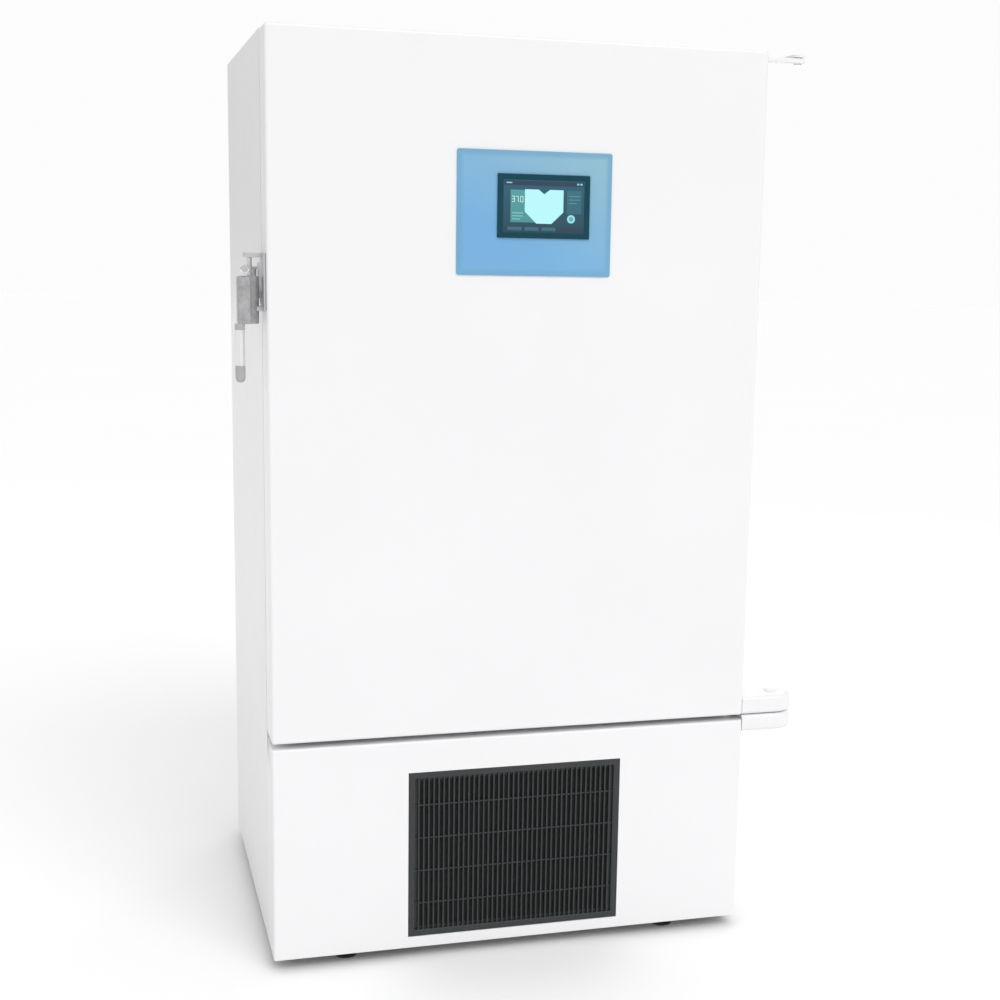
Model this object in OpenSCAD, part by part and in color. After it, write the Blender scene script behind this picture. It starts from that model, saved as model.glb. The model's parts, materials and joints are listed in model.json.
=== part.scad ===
// Refrigerated laboratory incubator: tall white cabinet, blind insulated door over a machine
// compartment, side latch, offset hinges, inner glass door, shelves and air circulation.
// The origin is on the floor, at the centre of the whole outline; the front faces -Y.

/* [Cabinet] */
// Width of the cabinet and of its door
cab_w = 1050; // [1000:10:1200]
// Depth from the face of the door to the back
cab_d = 865; // [840:5:1000]
// Height of the top panel above the floor
cab_h = 1950; // [1900:10:2100]
// Height of the deck over the machine compartment
plinth_h = 490; // [480:5:520]
// Gap between the floor and the skirt
skirt_gap = 25; // [15:1:40]
// Thickness of the insulated walls
wall = 85; // [75:1:100]
// Thickness of the outer and inner sheet metal
sheet = 1.5; // [1:0.1:2]

/* [Door] */
// Thickness of the outer door
door_t = 95; // [85:1:110]
// Gap between the door and the cabinet that the gasket fills
door_gap = 6; // [5:0.5:8]
// Height of the door's lower edge above the deck
door_lift = 12; // [8:1:20]
// Distance of the hinge axis outside the cabinet's side
hinge_out = 86; // [60:1:100]
// Distance of the hinge axis behind the door's face
hinge_back = 46; // [42:1:50]
// Radius of the lower hinge's rounded end
hinge_r = 44; // [36:1:44]

/* [Control panel] */
// Width of the coloured panel
panel_w = 328; // [260:1:340]
// Height of the coloured panel
panel_h = 252; // [200:1:260]
// Sideways place of the panel's centre on the door
panel_x = 20; // [-60:1:60]
// Height of the panel's centre above the floor
panel_z = 1600; // [1400:5:1650]
// Width of the screen's bezel
screen_w = 196; // [160:1:210]
// Height of the screen's bezel
screen_h = 129; // [100:1:140]

/* [Grille] */
// Width of the air grille
grille_w = 473; // [400:1:500]
// Height of the air grille
grille_h = 370; // [300:1:380]
// Height of the grille's centre above the floor
grille_z = 235; // [230:1:245]

/* [Casters] */
// Radius of a caster's wheel
wheel_r = 32; // [28:0.5:34]
// Width of a caster's wheel
wheel_w = 24; // [18:1:26]
// Distance of the wheel's axle behind the swivel axis
trail = 20; // [14:1:24]

/* [Hidden] */
$fn = 48;

half_w = cab_w / 2;
front_y = -cab_d / 2;
back_y = cab_d / 2;
door_back_y = front_y + door_t;
face_y = door_back_y + door_gap;
door_z = plinth_h + door_lift;
frame_t = 4;

// Inside faces of the chamber's liner
room_x = half_w - wall;
room_back = back_y - wall;
room_z0 = plinth_h + wall;
room_z1 = cab_h - wall;

// Hinge axis
pivot_x = half_w + hinge_out;
pivot_y = front_y + hinge_back;
hinge_pin_r = 8;
bracket_z = plinth_h - 28;
arm_t = 40;

// Latch
latch_x = -half_w - 28;
latch_y = front_y + 60;
latch_z0 = 1405;
latch_z1 = 1500;
grip_x = latch_x - 22;
grip_y = latch_y - 18;
grip_r = 10;
grip_z0 = 1252;
grip_z1 = latch_z1 - 36;
keeper_y = face_y + 34;
// Corner of the latch's block, one wall outside the pocket for the grip
latch_wall = 3;
block_x = grip_x - grip_r - latch_wall;
block_y = grip_y - grip_r - latch_wall;
lock_x = latch_x - 12;
lock_z = latch_z1 - 22;

// The origin stays at the middle of the outline from the latch's block to the hinge's end
outline_left = block_x;
outline_right = pivot_x + hinge_r;
outline_middle = (outline_left + outline_right) / 2;

// Casters and feet
caster_x = half_w - 70;
caster_front_y = front_y + 85;
caster_rear_y = back_y - 90;
rail_z = 90;
foot_x = caster_x - 90;
foot_y = front_y + 55;

// Port through the right wall
port_y = 120;
port_z = 1240;
port_r = 25;

// Fans
fan_z = 1720;
fan_r = 80;
cool_fan_z = 290;
cool_fan_r = 118;

// Rear connections
inlet_x = -330;
inlet_z = 300;

module block(lo, hi) {
    translate(lo) cube(hi - lo);
}

// Cylinder along +Y that starts at p
module rod_y(p, r, l) {
    translate(p) rotate([-90, 0, 0]) cylinder(r = r, h = l);
}

// Cylinder along +X that starts at p
module rod_x(p, r, l) {
    translate(p) rotate([0, 90, 0]) cylinder(r = r, h = l);
}

// Cylinder along +Z that starts at p
module rod_z(p, r, l) {
    translate(p) cylinder(r = r, h = l);
}

// Plate facing -Y with rounded corners, w wide, h high and t thick, with its back at y
module round_plate(x, y, z, w, h, r, t) {
    translate([x, y, z]) rotate([90, 0, 0]) linear_extrude(t) {
        square([w - 2 * r, h], center = true);
        square([w, h - 2 * r], center = true);
        for (sx = [-1, 1], sz = [-1, 1])
            translate([sx * (w / 2 - r), sz * (h / 2 - r)]) circle(r);
    }
}

// Rectangular ring facing Y between two half-widths and two pairs of heights
module ring(x_out, z0_out, z1_out, x_in, z0_in, z1_in, y0, y1) {
    difference() {
        block([-x_out, y0, z0_out], [x_out, y1, z1_out]);
        block([-x_in, y0 - 1, z0_in], [x_in, y1 + 1, z1_in]);
    }
}

module placed() {
    translate([-outline_middle, 0, 0]) children();
}

// ---- Cabinet ----

module side_panel(s) {
    x0 = s > 0 ? half_w - sheet : -half_w;
    difference() {
        block([x0, face_y, skirt_gap], [x0 + sheet, back_y, cab_h]);
        if (s > 0) rod_x([x0 - 1, port_y, port_z], port_r + 3.2, sheet + 2);
    }
}

module left_side_panel() {
    color("gainsboro") side_panel(-1);
}

module right_side_panel() {
    color("gainsboro") side_panel(1);
}

module top_panel() {
    x = half_w - sheet;
    color("whitesmoke") block([-x, face_y, cab_h - sheet], [x, back_y - sheet, cab_h]);
}

module back_panel() {
    x = half_w - sheet;
    color("whitesmoke") block([-x, back_y - sheet, plinth_h], [x, back_y, cab_h]);
}

module machine_cover() {
    x = half_w - sheet;
    y = back_y - sheet;
    slot_w = 150;
    color("whitesmoke") difference() {
        block([-x, y, 60], [x, back_y, plinth_h - sheet]);
        block([inlet_x - 52, y - 1, inlet_z - 27], [inlet_x + 52, back_y + 1, inlet_z + 27]);
        for (sx = [0, 210], k = [0 : 9])
            block([60 + sx, y - 1, 150 + 28 * k], [60 + sx + slot_w, back_y + 1, 160 + 28 * k]);
    }
}

module plinth_shell() {
    x = half_w - sheet;
    gw = grille_w / 2 + 0.8;
    gz0 = grille_z - grille_h / 2 - 0.8;
    gz1 = grille_z + grille_h / 2 + 0.8;
    color("white") {
        difference() {
            block([-half_w, front_y, skirt_gap], [half_w, face_y, plinth_h]);
            block([-x, front_y + sheet, skirt_gap - 1], [x, face_y + 1, plinth_h - sheet]);
            block([-gw, front_y - 1, gz0], [gw, front_y + 2 * sheet, gz1]);
        }
        block([-x, face_y, plinth_h - sheet], [x, back_y - sheet, plinth_h]);
    }
}

// Square steel tube between two corners, open along axis a
module tube(lo, hi, a) {
    t = 2;
    difference() {
        block(lo, hi);
        block(lo + [a == 0 ? -1 : t, a == 1 ? -1 : t, t], hi - [a == 0 ? -1 : t, a == 1 ? -1 : t, t]);
    }
}

module base_frame() {
    z1 = rail_z + 30;
    x = half_w - sheet - 1;
    fy = foot_y;
    color("dimgray") difference() {
        union() {
            for (s = [-1, 1])
                tube([s * (x - 20) - 20, front_y + 20, rail_z], [s * (x - 20) + 20, back_y - 20, z1], 1);
            tube([-x + 40, fy - 20, rail_z], [x - 40, fy + 20, z1], 0);
            tube([-x + 40, -20, rail_z], [x - 40, 20, z1], 0);
            tube([-x + 40, caster_rear_y - 20, rail_z], [x - 40, caster_rear_y + 20, z1], 0);
            block([-x, front_y + 20, z1], [x, back_y - 20, z1 + 2]);
            for (s = [-1, 1], y = [caster_front_y, caster_rear_y])
                block([s * caster_x - 42, y - 36, rail_z - 6], [s * caster_x + 42, y + 36, rail_z]);
        }
        for (s = [-1, 1]) {
            rod_z([s * foot_x, fy, rail_z - 1], 6.06, 40);
            rod_z([s * caster_x, caster_front_y, rail_z - 7], 6.06, 8.5);
        }
    }
}

module insulation() {
    x = half_w - sheet;
    y0 = face_y + frame_t;
    color("khaki") difference() {
        block([-x, y0, plinth_h], [x, back_y - sheet, cab_h - sheet]);
        block([-room_x, y0 - 1, room_z0], [room_x, room_back, room_z1]);
        rod_x([room_x - 1, port_y, port_z], port_r + 3.2, wall + 2);
    }
}

module front_frame() {
    x = half_w - sheet;
    color("white") ring(x, plinth_h, cab_h - sheet,
        room_x - sheet, room_z0 + sheet, room_z1 - sheet, face_y, face_y + frame_t);
}

module chamber_liner() {
    y0 = face_y + frame_t;
    xi = room_x - sheet;
    color("silver") difference() {
        block([-room_x, y0, room_z0], [room_x, room_back, room_z1]);
        block([-xi, y0 - 1, room_z0 + sheet], [xi, room_back - sheet, room_z1 - sheet]);
        rod_x([xi - 1, port_y, port_z], port_r + 3.2, sheet + 2);
    }
}

// ---- Chamber ----

shelf_count = 3;
shelf_front = face_y + 78;
shelf_rear = room_back - 62;
shelf_x = room_x - sheet - 16;
upright_t = 10;
shelf_step = (room_z1 - room_z0) / (shelf_count + 1);

function shelf_z(k) = room_z0 + shelf_step * k;

module shelf_uprights() {
    xi = room_x - sheet;
    z0 = room_z0 + sheet + 30;
    z1 = room_z1 - sheet - 30;
    color("silver") for (s = [-1, 1], y = [shelf_front + 40, shelf_rear - 40]) {
        difference() {
            block([s * (xi - upright_t / 2) - upright_t / 2, y - 12, z0],
                [s * (xi - upright_t / 2) + upright_t / 2, y + 12, z1]);
            for (k = [0 : 19])
                block([s * (xi - upright_t) - 3, y - 5, z0 + 30 + 58 * k],
                    [s * (xi - upright_t) + 3, y + 5, z0 + 44 + 58 * k]);
        }
        for (k = [1 : shelf_count])
            block([s * (xi - upright_t - 9) - 9, y - 9, shelf_z(k) - 9],
                [s * (xi - upright_t - 9) + 9, y + 9, shelf_z(k) - 3]);
    }
}

// Shelf of steel bars: side rails, cross bars and a raised rear lip
module shelf(k) {
    z = shelf_z(k) - 3;
    bars = 30;
    pitch = (2 * shelf_x - 14) / (bars - 1);
    color("silver") {
        for (s = [-1, 1])
            block([s * (shelf_x - 3) - 3, shelf_front, z], [s * (shelf_x - 3) + 3, shelf_rear, z + 6]);
        for (y = [shelf_front, (shelf_front + shelf_rear) / 2, shelf_rear - 6])
            block([-shelf_x, y, z], [shelf_x, y + 6, z + 6]);
        for (i = [0 : bars - 1])
            block([-shelf_x + 5 + pitch * i, shelf_front, z + 6],
                [-shelf_x + 9 + pitch * i, shelf_rear, z + 10]);
        block([-shelf_x, shelf_rear - 4, z + 6], [shelf_x, shelf_rear, z + 30]);
    }
}

duct_y = room_back - 52;

module air_duct() {
    xi = room_x - sheet - 2;
    z0 = room_z0 + sheet + 50;
    z1 = room_z1 - sheet - 30;
    color("lightgray") difference() {
        union() {
            block([-xi, duct_y, z0], [xi, duct_y + 1.5, z1]);
            for (s = [-1, 1])
                block([s * (xi - 0.75) - 0.75, duct_y, z0],
                    [s * (xi - 0.75) + 0.75, room_back - sheet, z1]);
        }
        rod_y([0, duct_y - 1, fan_z], fan_r + 8, 4);
        for (i = [-5 : 5], k = [0 : 2])
            block([i * 70 - 25, duct_y - 1, z0 + 40 + 22 * k], [i * 70 + 25, duct_y + 3, z0 + 48 + 22 * k]);
    }
}

module evaporator() {
    fins = 28;
    pitch = 600 / (fins - 1);
    y = duct_y + 26;
    color("lightsteelblue") {
        for (i = [0 : fins - 1])
            block([-300 + pitch * i - 0.5, y - 16, 850], [-300 + pitch * i + 0.5, y + 16, 1350]);
        for (k = [0 : 5])
            rod_x([-315, y, 890 + 84 * k], 5, 630);
    }
}

module heater_element() {
    y = duct_y + 24;
    color("dimgray") {
        for (z = [730, 790]) rod_x([-280, y, z], 4, 560);
        translate([280, y, 760]) rotate([90, 0, 0]) rotate([0, 0, -90])
            rotate_extrude(angle = 180) translate([30, 0]) circle(4);
    }
}

module circulation_motor() {
    color("dimgray") {
        rod_y([0, room_back - sheet - 20, fan_z], 28, 20);
        rod_y([0, room_back - sheet - 30, fan_z], 3, 11);
    }
}

// Bladed rotor about a Y axis with a bore for its shaft
module rotor(x, y, z, r, hub, depth, blades, bore, pitch_angle) {
    translate([x, y, z]) rotate([-90, 0, 0]) difference() {
        union() {
            cylinder(r = hub, h = depth);
            for (i = [0 : blades - 1]) rotate([0, 0, 360 / blades * i])
                translate([hub - 3, 0, depth / 2]) rotate([pitch_angle, 0, 0])
                    translate([0, -r * 0.2, -1]) cube([r - hub + 1, r * 0.4, 2]);
        }
        translate([0, 0, -1]) cylinder(r = bore, h = depth + 2);
    }
}

module circulation_fan() {
    color("silver") rotor(0, room_back - sheet - 46, fan_z, fan_r, 22, 22, 6, 3.05, 28);
}

module temp_probe() {
    color("silver") {
        rod_y([-240, duct_y - 30, 1500], 3, 30);
        rod_y([-240, duct_y - 8, 1500], 9, 8);
    }
}

module chamber_lamp() {
    z = room_z1 - sheet;
    color("ivory") block([-300, face_y + 95, z - 12], [300, face_y + 120, z]);
}

// ---- Port ----

module access_port() {
    x0 = room_x - sheet;
    color("gainsboro") difference() {
        union() {
            rod_x([x0, port_y, port_z], port_r + 3, wall + sheet);
            rod_x([half_w, port_y, port_z], port_r + 12, 3);
        }
        rod_x([x0 - 1, port_y, port_z], port_r, wall + sheet + 5);
    }
}

module access_plug() {
    color("lightgray") difference() {
        union() {
            rod_x([half_w - 60, port_y, port_z], port_r - 0.4, 63);
            rod_x([half_w + 3.3, port_y, port_z], port_r + 6, 9);
            rod_x([half_w + 2.5, port_y, port_z], port_r - 0.4, 2);
        }
        rod_x([half_w - 61, port_y, port_z], 6, 80);
    }
}

// ---- Hinges ----

// Upper hinge: thin plates at the top edge, on the same axis
upper_t = 6;
upper_arm_t = 10;
upper_r = 15;
upper_z = cab_h - upper_t;

module hinge_brackets() {
    pin_z0 = bracket_z + 10;
    pin_z1 = door_z + 26;
    bracket_z1 = door_z - 2;
    color("white") {
        // Lower bracket on the plinth's side, with its pin
        difference() {
            union() {
                rod_z([pivot_x, pivot_y, bracket_z], hinge_r, bracket_z1 - bracket_z);
                block([half_w, pivot_y - hinge_r, bracket_z], [pivot_x, pivot_y + hinge_r, bracket_z1]);
            }
            block([half_w - 1, pivot_y - hinge_r - 1, plinth_h], [half_w + 0.5, pivot_y + hinge_r + 1, 520]);
        }
        rod_z([pivot_x, pivot_y, pin_z0], hinge_pin_r, pin_z1 - pin_z0);
        // Upper bracket on the cabinet's side, with its pin
        rod_z([pivot_x, pivot_y, upper_z], upper_r, upper_t);
        block([pivot_x - upper_r, pivot_y, upper_z], [pivot_x + upper_r, pivot_y + 92, cab_h]);
        block([half_w, pivot_y + 72, upper_z], [pivot_x, pivot_y + 92, cab_h]);
        block([half_w, pivot_y + 72, upper_z - 60], [half_w + 6, pivot_y + 150, cab_h]);
        rod_z([pivot_x, pivot_y, upper_z - upper_arm_t - 5], hinge_pin_r, upper_arm_t + 6);
    }
}

module door_hinge_arms() {
    color("white") difference() {
        union() {
            rod_z([pivot_x, pivot_y, door_z], hinge_r, arm_t);
            block([half_w, pivot_y - hinge_r, door_z], [pivot_x, pivot_y + hinge_r, door_z + arm_t]);
            rod_z([pivot_x, pivot_y, upper_z - 2 - upper_arm_t], upper_r, upper_arm_t);
            block([half_w, pivot_y - upper_r, upper_z - 2 - upper_arm_t],
                [pivot_x, pivot_y + upper_r, upper_z - 2]);
        }
        rod_z([pivot_x, pivot_y, door_z - 1], hinge_pin_r + 0.05, 29);
        rod_z([pivot_x, pivot_y, upper_z - 3 - upper_arm_t], hinge_pin_r + 0.05, upper_arm_t + 2);
    }
}

// ---- Latch ----

module latch_base() {
    color("dimgray") difference() {
        union() {
            block([-half_w - 5, front_y + 14, latch_z0 - 10], [-half_w, front_y + 88, latch_z1 + 10]);
            for (z = [latch_z0 - 10, latch_z1 + 1]) {
                rod_z([latch_x, latch_y, z], 13, 9);
                block([latch_x, latch_y - 13, z], [-half_w - 4, latch_y + 13, z + 9]);
            }
        }
        rod_z([latch_x, latch_y, latch_z0 - 11], 5.05, 200);
    }
}

module latch_lever() {
    color("dimgray") difference() {
        union() {
            rod_z([latch_x, latch_y, latch_z0], 18, latch_z1 - latch_z0);
            block([block_x, block_y, latch_z0], [latch_x, latch_y + 6, latch_z1]);
            block([latch_x - 10, latch_y, latch_z0 + 35], [latch_x + 2, keeper_y + 20, latch_z0 + 62]);
            block([latch_x - 2, keeper_y + 6, latch_z0 + 35], [latch_x + 5, keeper_y + 20, latch_z0 + 62]);
        }
        rod_y([lock_x, block_y - 1, lock_z], 7.05, 12.6);
        rod_z([grip_x, grip_y, latch_z0 - 1], grip_r + 0.05, grip_z1 - latch_z0 + 1.1);
    }
    color("silver") rod_z([latch_x, latch_y, latch_z0 - 9.5], 5, latch_z1 - latch_z0 + 19);
}

module latch_grip() {
    z = grip_z0 + grip_r;
    color("lightgray") {
        rod_z([grip_x, grip_y, z], grip_r, grip_z1 - z);
        translate([grip_x, grip_y, z]) sphere(grip_r);
    }
}

module key_lock() {
    y = block_y - 1.5;
    color("silver") difference() {
        rod_y([lock_x, y, lock_z], 7, 13);
        block([lock_x - 0.8, y - 1, lock_z - 4], [lock_x + 0.8, y + 6, lock_z + 4]);
    }
}

module latch_keeper() {
    z0 = latch_z0 + 26;
    color("dimgray") {
        block([-half_w - 4, keeper_y - 24, z0 - 14], [-half_w, keeper_y + 24, z0 + 59]);
        for (z = [z0 - 6, z0 + 45])
            block([-half_w - 22, keeper_y - 8, z], [-half_w - 4, keeper_y + 8, z + 6]);
        rod_z([-half_w - 14, keeper_y, z0], 7, 45);
    }
}

// ---- Door ----

module door_skin() {
    r = 8;
    color("white") difference() {
        translate([0, 0, door_z]) linear_extrude(cab_h - door_z) {
            translate([-half_w + r, front_y]) square([cab_w - 2 * r, door_t]);
            translate([-half_w, front_y + r]) square([cab_w, door_t - r]);
            for (s = [-1, 1]) translate([s * (half_w - r), front_y + r]) circle(r);
        }
        block([-half_w + sheet, front_y + sheet, door_z + sheet],
            [half_w - sheet, door_back_y + 1, cab_h - sheet]);
    }
}

plug_x = room_x - 26;
plug_z0 = room_z0 + 28;
plug_z1 = room_z1 - 28;
plug_t = 22;
liner_t = 2;

module door_foam() {
    x = half_w - sheet;
    color("khaki") {
        block([-x + 7, front_y + sheet, door_z + sheet], [x - 7, front_y + 10, cab_h - sheet]);
        block([-x, front_y + 9, door_z + sheet], [x, door_back_y - liner_t, cab_h - sheet]);
        block([-plug_x + liner_t, door_back_y - liner_t - 1, plug_z0 + liner_t],
            [plug_x - liner_t, door_back_y + plug_t - liner_t, plug_z1 - liner_t]);
    }
}

module door_liner() {
    x = half_w - sheet;
    y = door_back_y;
    color("white") difference() {
        union() {
            block([-x, y - liner_t, door_z + sheet], [x, y, cab_h - sheet]);
            block([-plug_x, y - liner_t, plug_z0], [plug_x, y + plug_t, plug_z1]);
        }
        block([-plug_x + liner_t, y - liner_t - 1, plug_z0 + liner_t],
            [plug_x - liner_t, y + plug_t - liner_t, plug_z1 - liner_t]);
    }
}

module door_gasket() {
    color("gray") ring(half_w - 20, door_z + 16, cab_h - 20, room_x + 30, room_z0 - 30,
        room_z1 + 30, door_back_y, face_y - 0.4);
}

module control_panel() {
    color("cornflowerblue") round_plate(panel_x, front_y, panel_z, panel_w, panel_h, 5, 3);
}

screen_x = panel_x + 18;
screen_z = panel_z + 15;

module screen_bezel() {
    color("black") difference() {
        round_plate(screen_x, front_y - 3, screen_z, screen_w, screen_h, 5, 4);
        block([screen_x - screen_w / 2 + 12, front_y - 8, screen_z - screen_h / 2 + 12],
            [screen_x + screen_w / 2 - 12, front_y - 4, screen_z + screen_h / 2 - 12]);
    }
}

module touch_screen() {
    color("turquoise") block([screen_x - screen_w / 2 + 12, front_y - 6.5, screen_z - screen_h / 2 + 12],
        [screen_x + screen_w / 2 - 12, front_y - 4, screen_z + screen_h / 2 - 12]);
}

// ---- Inner door ----

inner_y = face_y + 46;
inner_t = 20;
inner_x = room_x - sheet - 6.5;
inner_z0 = room_z0 + sheet + 7;
inner_z1 = room_z1 - sheet - 7;
inner_pivot_x = inner_x - 10;
stile = 34;

module inner_door_frame() {
    y0 = inner_y - inner_t / 2;
    y1 = inner_y + inner_t / 2;
    color("silver") difference() {
        union() {
            ring(inner_x, inner_z0, inner_z1, inner_x - stile, inner_z0 + stile, inner_z1 - stile, y0, y1);
            for (z = [inner_z0 - 3, inner_z1])
                rod_z([inner_pivot_x, inner_y, z], 8, 3);
        }
        block([-inner_x + stile - 8, inner_y - 2.5, inner_z0 + stile - 8],
            [inner_x - stile + 8, inner_y + 2.5, inner_z1 - stile + 8]);
        rod_y([-inner_x + stile / 2, y0 - 1, 1200], 4.05, inner_t + 2);
    }
}

module inner_door_glass() {
    color("lightblue") block([-inner_x + stile - 8, inner_y - 2.5, inner_z0 + stile - 8],
        [inner_x - stile + 8, inner_y + 2.5, inner_z1 - stile + 8]);
}

module inner_door_knob() {
    y0 = inner_y - inner_t / 2;
    color("black") {
        rod_y([-inner_x + stile / 2, y0 - 9, 1200], 13, 8.6);
        rod_y([-inner_x + stile / 2, y0 - 1, 1200], 4, inner_t + 4);
        block([-inner_x + stile / 2 - 6, y0 + inner_t + 0.4, 1176],
            [-inner_x + stile / 2 + 6, y0 + inner_t + 4.4, 1206]);
    }
}

// ---- Machine compartment ----

comp_x = 190;
comp_y = 180;
comp_r = 78;
floor_z = rail_z + 32;

module compressor() {
    shell_h = 120;
    color("black") translate([comp_x, comp_y, floor_z]) {
        translate([0, 0, 14]) rotate_extrude() {
            square([comp_r, shell_h]);
            translate([0, shell_h]) intersection() {
                translate([0, -20]) circle(80.5);
                square([comp_r, 60]);
            }
        }
        for (a = [0, 90]) rotate([0, 0, a]) translate([-100, -16, 10]) cube([200, 32, 6]);
        for (a = [0 : 90 : 270]) rotate([0, 0, a]) translate([86, 0, 0]) cylinder(r = 12, h = 11);
    }
}

cond_y = front_y + 45;
cond_z = rail_z + 60;
tube_z = cond_z + 25;
shroud_y = cond_y + 32;

module condenser() {
    fins = 34;
    pitch = 400 / (fins - 1);
    z0 = cond_z;
    color("darkgray") {
        for (i = [0 : fins - 1])
            block([-200 + pitch * i - 0.5, cond_y - 22, z0], [-200 + pitch * i + 0.5, cond_y + 22, z0 + 280]);
        for (k = [0 : 5])
            rod_x([-212, cond_y, tube_z + 46 * k], 5, 424);
        for (s = [-1, 1])
            block([s * 206 - 1, cond_y - 24, floor_z], [s * 206 + 1, cond_y + 24, z0 + 290]);
    }
}

module fan_shroud() {
    color("dimgray") difference() {
        union() {
            block([-200, shroud_y, floor_z], [200, shroud_y + 2, rail_z + 350]);
            rod_y([0, shroud_y + 1, cool_fan_z], cool_fan_r + 9, 40);
        }
        rod_y([0, shroud_y - 1, cool_fan_z], cool_fan_r + 6, 50);
    }
}

module condenser_motor() {
    y = shroud_y + 46;
    color("dimgray") {
        rod_y([0, y, cool_fan_z], 38, 60);
        rod_y([0, y - 30, cool_fan_z], 5, 31);
        for (s = [-1, 1])
            block([s * 30 - 4, y + 20, floor_z], [s * 30 + 4, y + 34, cool_fan_z - 20]);
    }
}

module condenser_fan() {
    color("black") rotor(0, shroud_y + 10, cool_fan_z, cool_fan_r, 34, 26, 5, 5.05, 26);
}

// Copper pipe bent through a quarter turn: centre, bend radius and turn about Z
module quarter_bend(p, r, turn) {
    translate(p) rotate([0, 0, turn]) rotate_extrude(angle = 90) translate([r, 0]) circle(4);
}

module refrigerant_lines() {
    bend = 30;
    run_x = comp_x + 110;
    drier_y = cond_y + 180;
    riser_y = comp_y + 110;
    color("peru") {
        // From the lowest pass of the condenser to the compressor
        rod_x([212, cond_y, tube_z], 4, run_x - bend - 212);
        quarter_bend([run_x - bend, cond_y + bend, tube_z], bend, -90);
        rod_y([run_x, cond_y + bend, tube_z], 4, comp_y - cond_y - 2 * bend);
        quarter_bend([run_x - bend, comp_y - bend, tube_z], bend, 0);
        rod_x([comp_x + comp_r, comp_y, tube_z], 4, run_x - bend - comp_x - comp_r);
        // Drier
        rod_y([run_x, drier_y, tube_z], 14, 110);
        // Suction riser from the compressor to the deck
        rod_y([comp_x, comp_y + comp_r, tube_z], 6, riser_y - comp_y - comp_r);
        rod_z([comp_x, riser_y, tube_z], 6, plinth_h - sheet - tube_z);
        translate([comp_x, riser_y, tube_z]) sphere(6);
    }
}

module control_box() {
    t = 2;
    lo = [-440, 90, floor_z];
    hi = [-180, 330, floor_z + 150];
    color("lightgray") difference() {
        block(lo, hi);
        block(lo + [t, t, t], hi - [t, t, t]);
    }
}

// ---- Rear connections ----

socket_x = inlet_x - 18;
switch_x = inlet_x + 34;

module power_inlet() {
    y = back_y - sheet;
    color("black") difference() {
        union() {
            block([inlet_x - 56, back_y, inlet_z - 31], [inlet_x + 56, back_y + 2, inlet_z + 31]);
            block([inlet_x - 51.5, y - 28, inlet_z - 26.5], [inlet_x + 51.5, back_y, inlet_z + 26.5]);
        }
        block([socket_x - 24, y - 18, inlet_z - 12], [socket_x + 24, back_y + 3, inlet_z + 12]);
        block([switch_x - 8.4, y - 16, inlet_z - 14], [switch_x + 8.4, back_y + 3, inlet_z + 14]);
    }
    color("silver") for (i = [-1 : 1])
        block([socket_x + 12 * i - 1, y - 19, inlet_z - 4], [socket_x + 12 * i + 1, y - 3, inlet_z + 4]);
}

module power_switch() {
    y = back_y - sheet - 6;
    color("darkred") translate([switch_x - 8, y, inlet_z]) rotate([0, 90, 0]) linear_extrude(16)
        difference() {
            intersection() {
                circle(12.5);
                translate([-13, -6]) square([26, 20]);
            }
            translate([0, 27]) circle(19);
        }
}

// ---- Casters and feet ----

// Fork with its kingpin and axle; its wheel trails behind the swivel axis at (x, y)
module fork(x, y, pin_h) {
    w = wheel_w / 2 + 1;
    ay = y + trail;
    rod_z([x, y, rail_z - 12], 24, 5.5);
    rod_z([x, y, rail_z - 7], 6, pin_h);
    for (s = [-1, 1]) translate([x + s * (w + 1.5) - 1.5, 0, 0]) {
        rod_x([0, ay, wheel_r], 11, 3);
        block([0, y - 6, wheel_r + 34 - 9], [3, ay + 9, rail_z - 11]);
        block([0, ay - 11, wheel_r], [3, ay + 9, rail_z - 11]);
    }
    rod_x([x - w - 1, ay, wheel_r], 5, 2 * w + 2);
}

module caster_fork_left() {
    color("silver") fork(-caster_x, caster_front_y, 6);
}

module caster_fork_right() {
    color("silver") fork(caster_x, caster_front_y, 6);
}

module rear_caster_forks() {
    color("silver") for (s = [-1, 1]) {
        fork(s * caster_x, caster_rear_y, 1);
        rod_z([s * caster_x, caster_rear_y, rail_z - 7], 20, 1);
    }
}

module wheel(x, y) {
    translate([x - wheel_w / 2, y + trail, wheel_r]) rotate([0, 90, 0]) difference() {
        union() {
            translate([0, 0, 3]) cylinder(r = wheel_r, h = wheel_w - 6);
            cylinder(r = wheel_r - 3, h = wheel_w);
        }
        translate([0, 0, -1]) cylinder(r = 5.05, h = wheel_w + 2);
    }
}

module caster_wheel_front_left() {
    color("dimgray") wheel(-caster_x, caster_front_y);
}

module caster_wheel_front_right() {
    color("dimgray") wheel(caster_x, caster_front_y);
}

module caster_wheel_rear_left() {
    color("dimgray") wheel(-caster_x, caster_rear_y);
}

module caster_wheel_rear_right() {
    color("dimgray") wheel(caster_x, caster_rear_y);
}

module levelling_foot(x) {
    color("dimgray") {
        rod_z([x, foot_y, 0], 24, 12);
        rod_z([x, foot_y, 11], 6, rail_z + 15);
        translate([x, foot_y, 30]) cylinder(r = 11, h = 8, $fn = 6);
    }
}

module levelling_foot_left() {
    levelling_foot(-foot_x);
}

module levelling_foot_right() {
    levelling_foot(foot_x);
}

// ---- Grille ----

grille_t = 12;
bar_pitch = 11;

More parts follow.
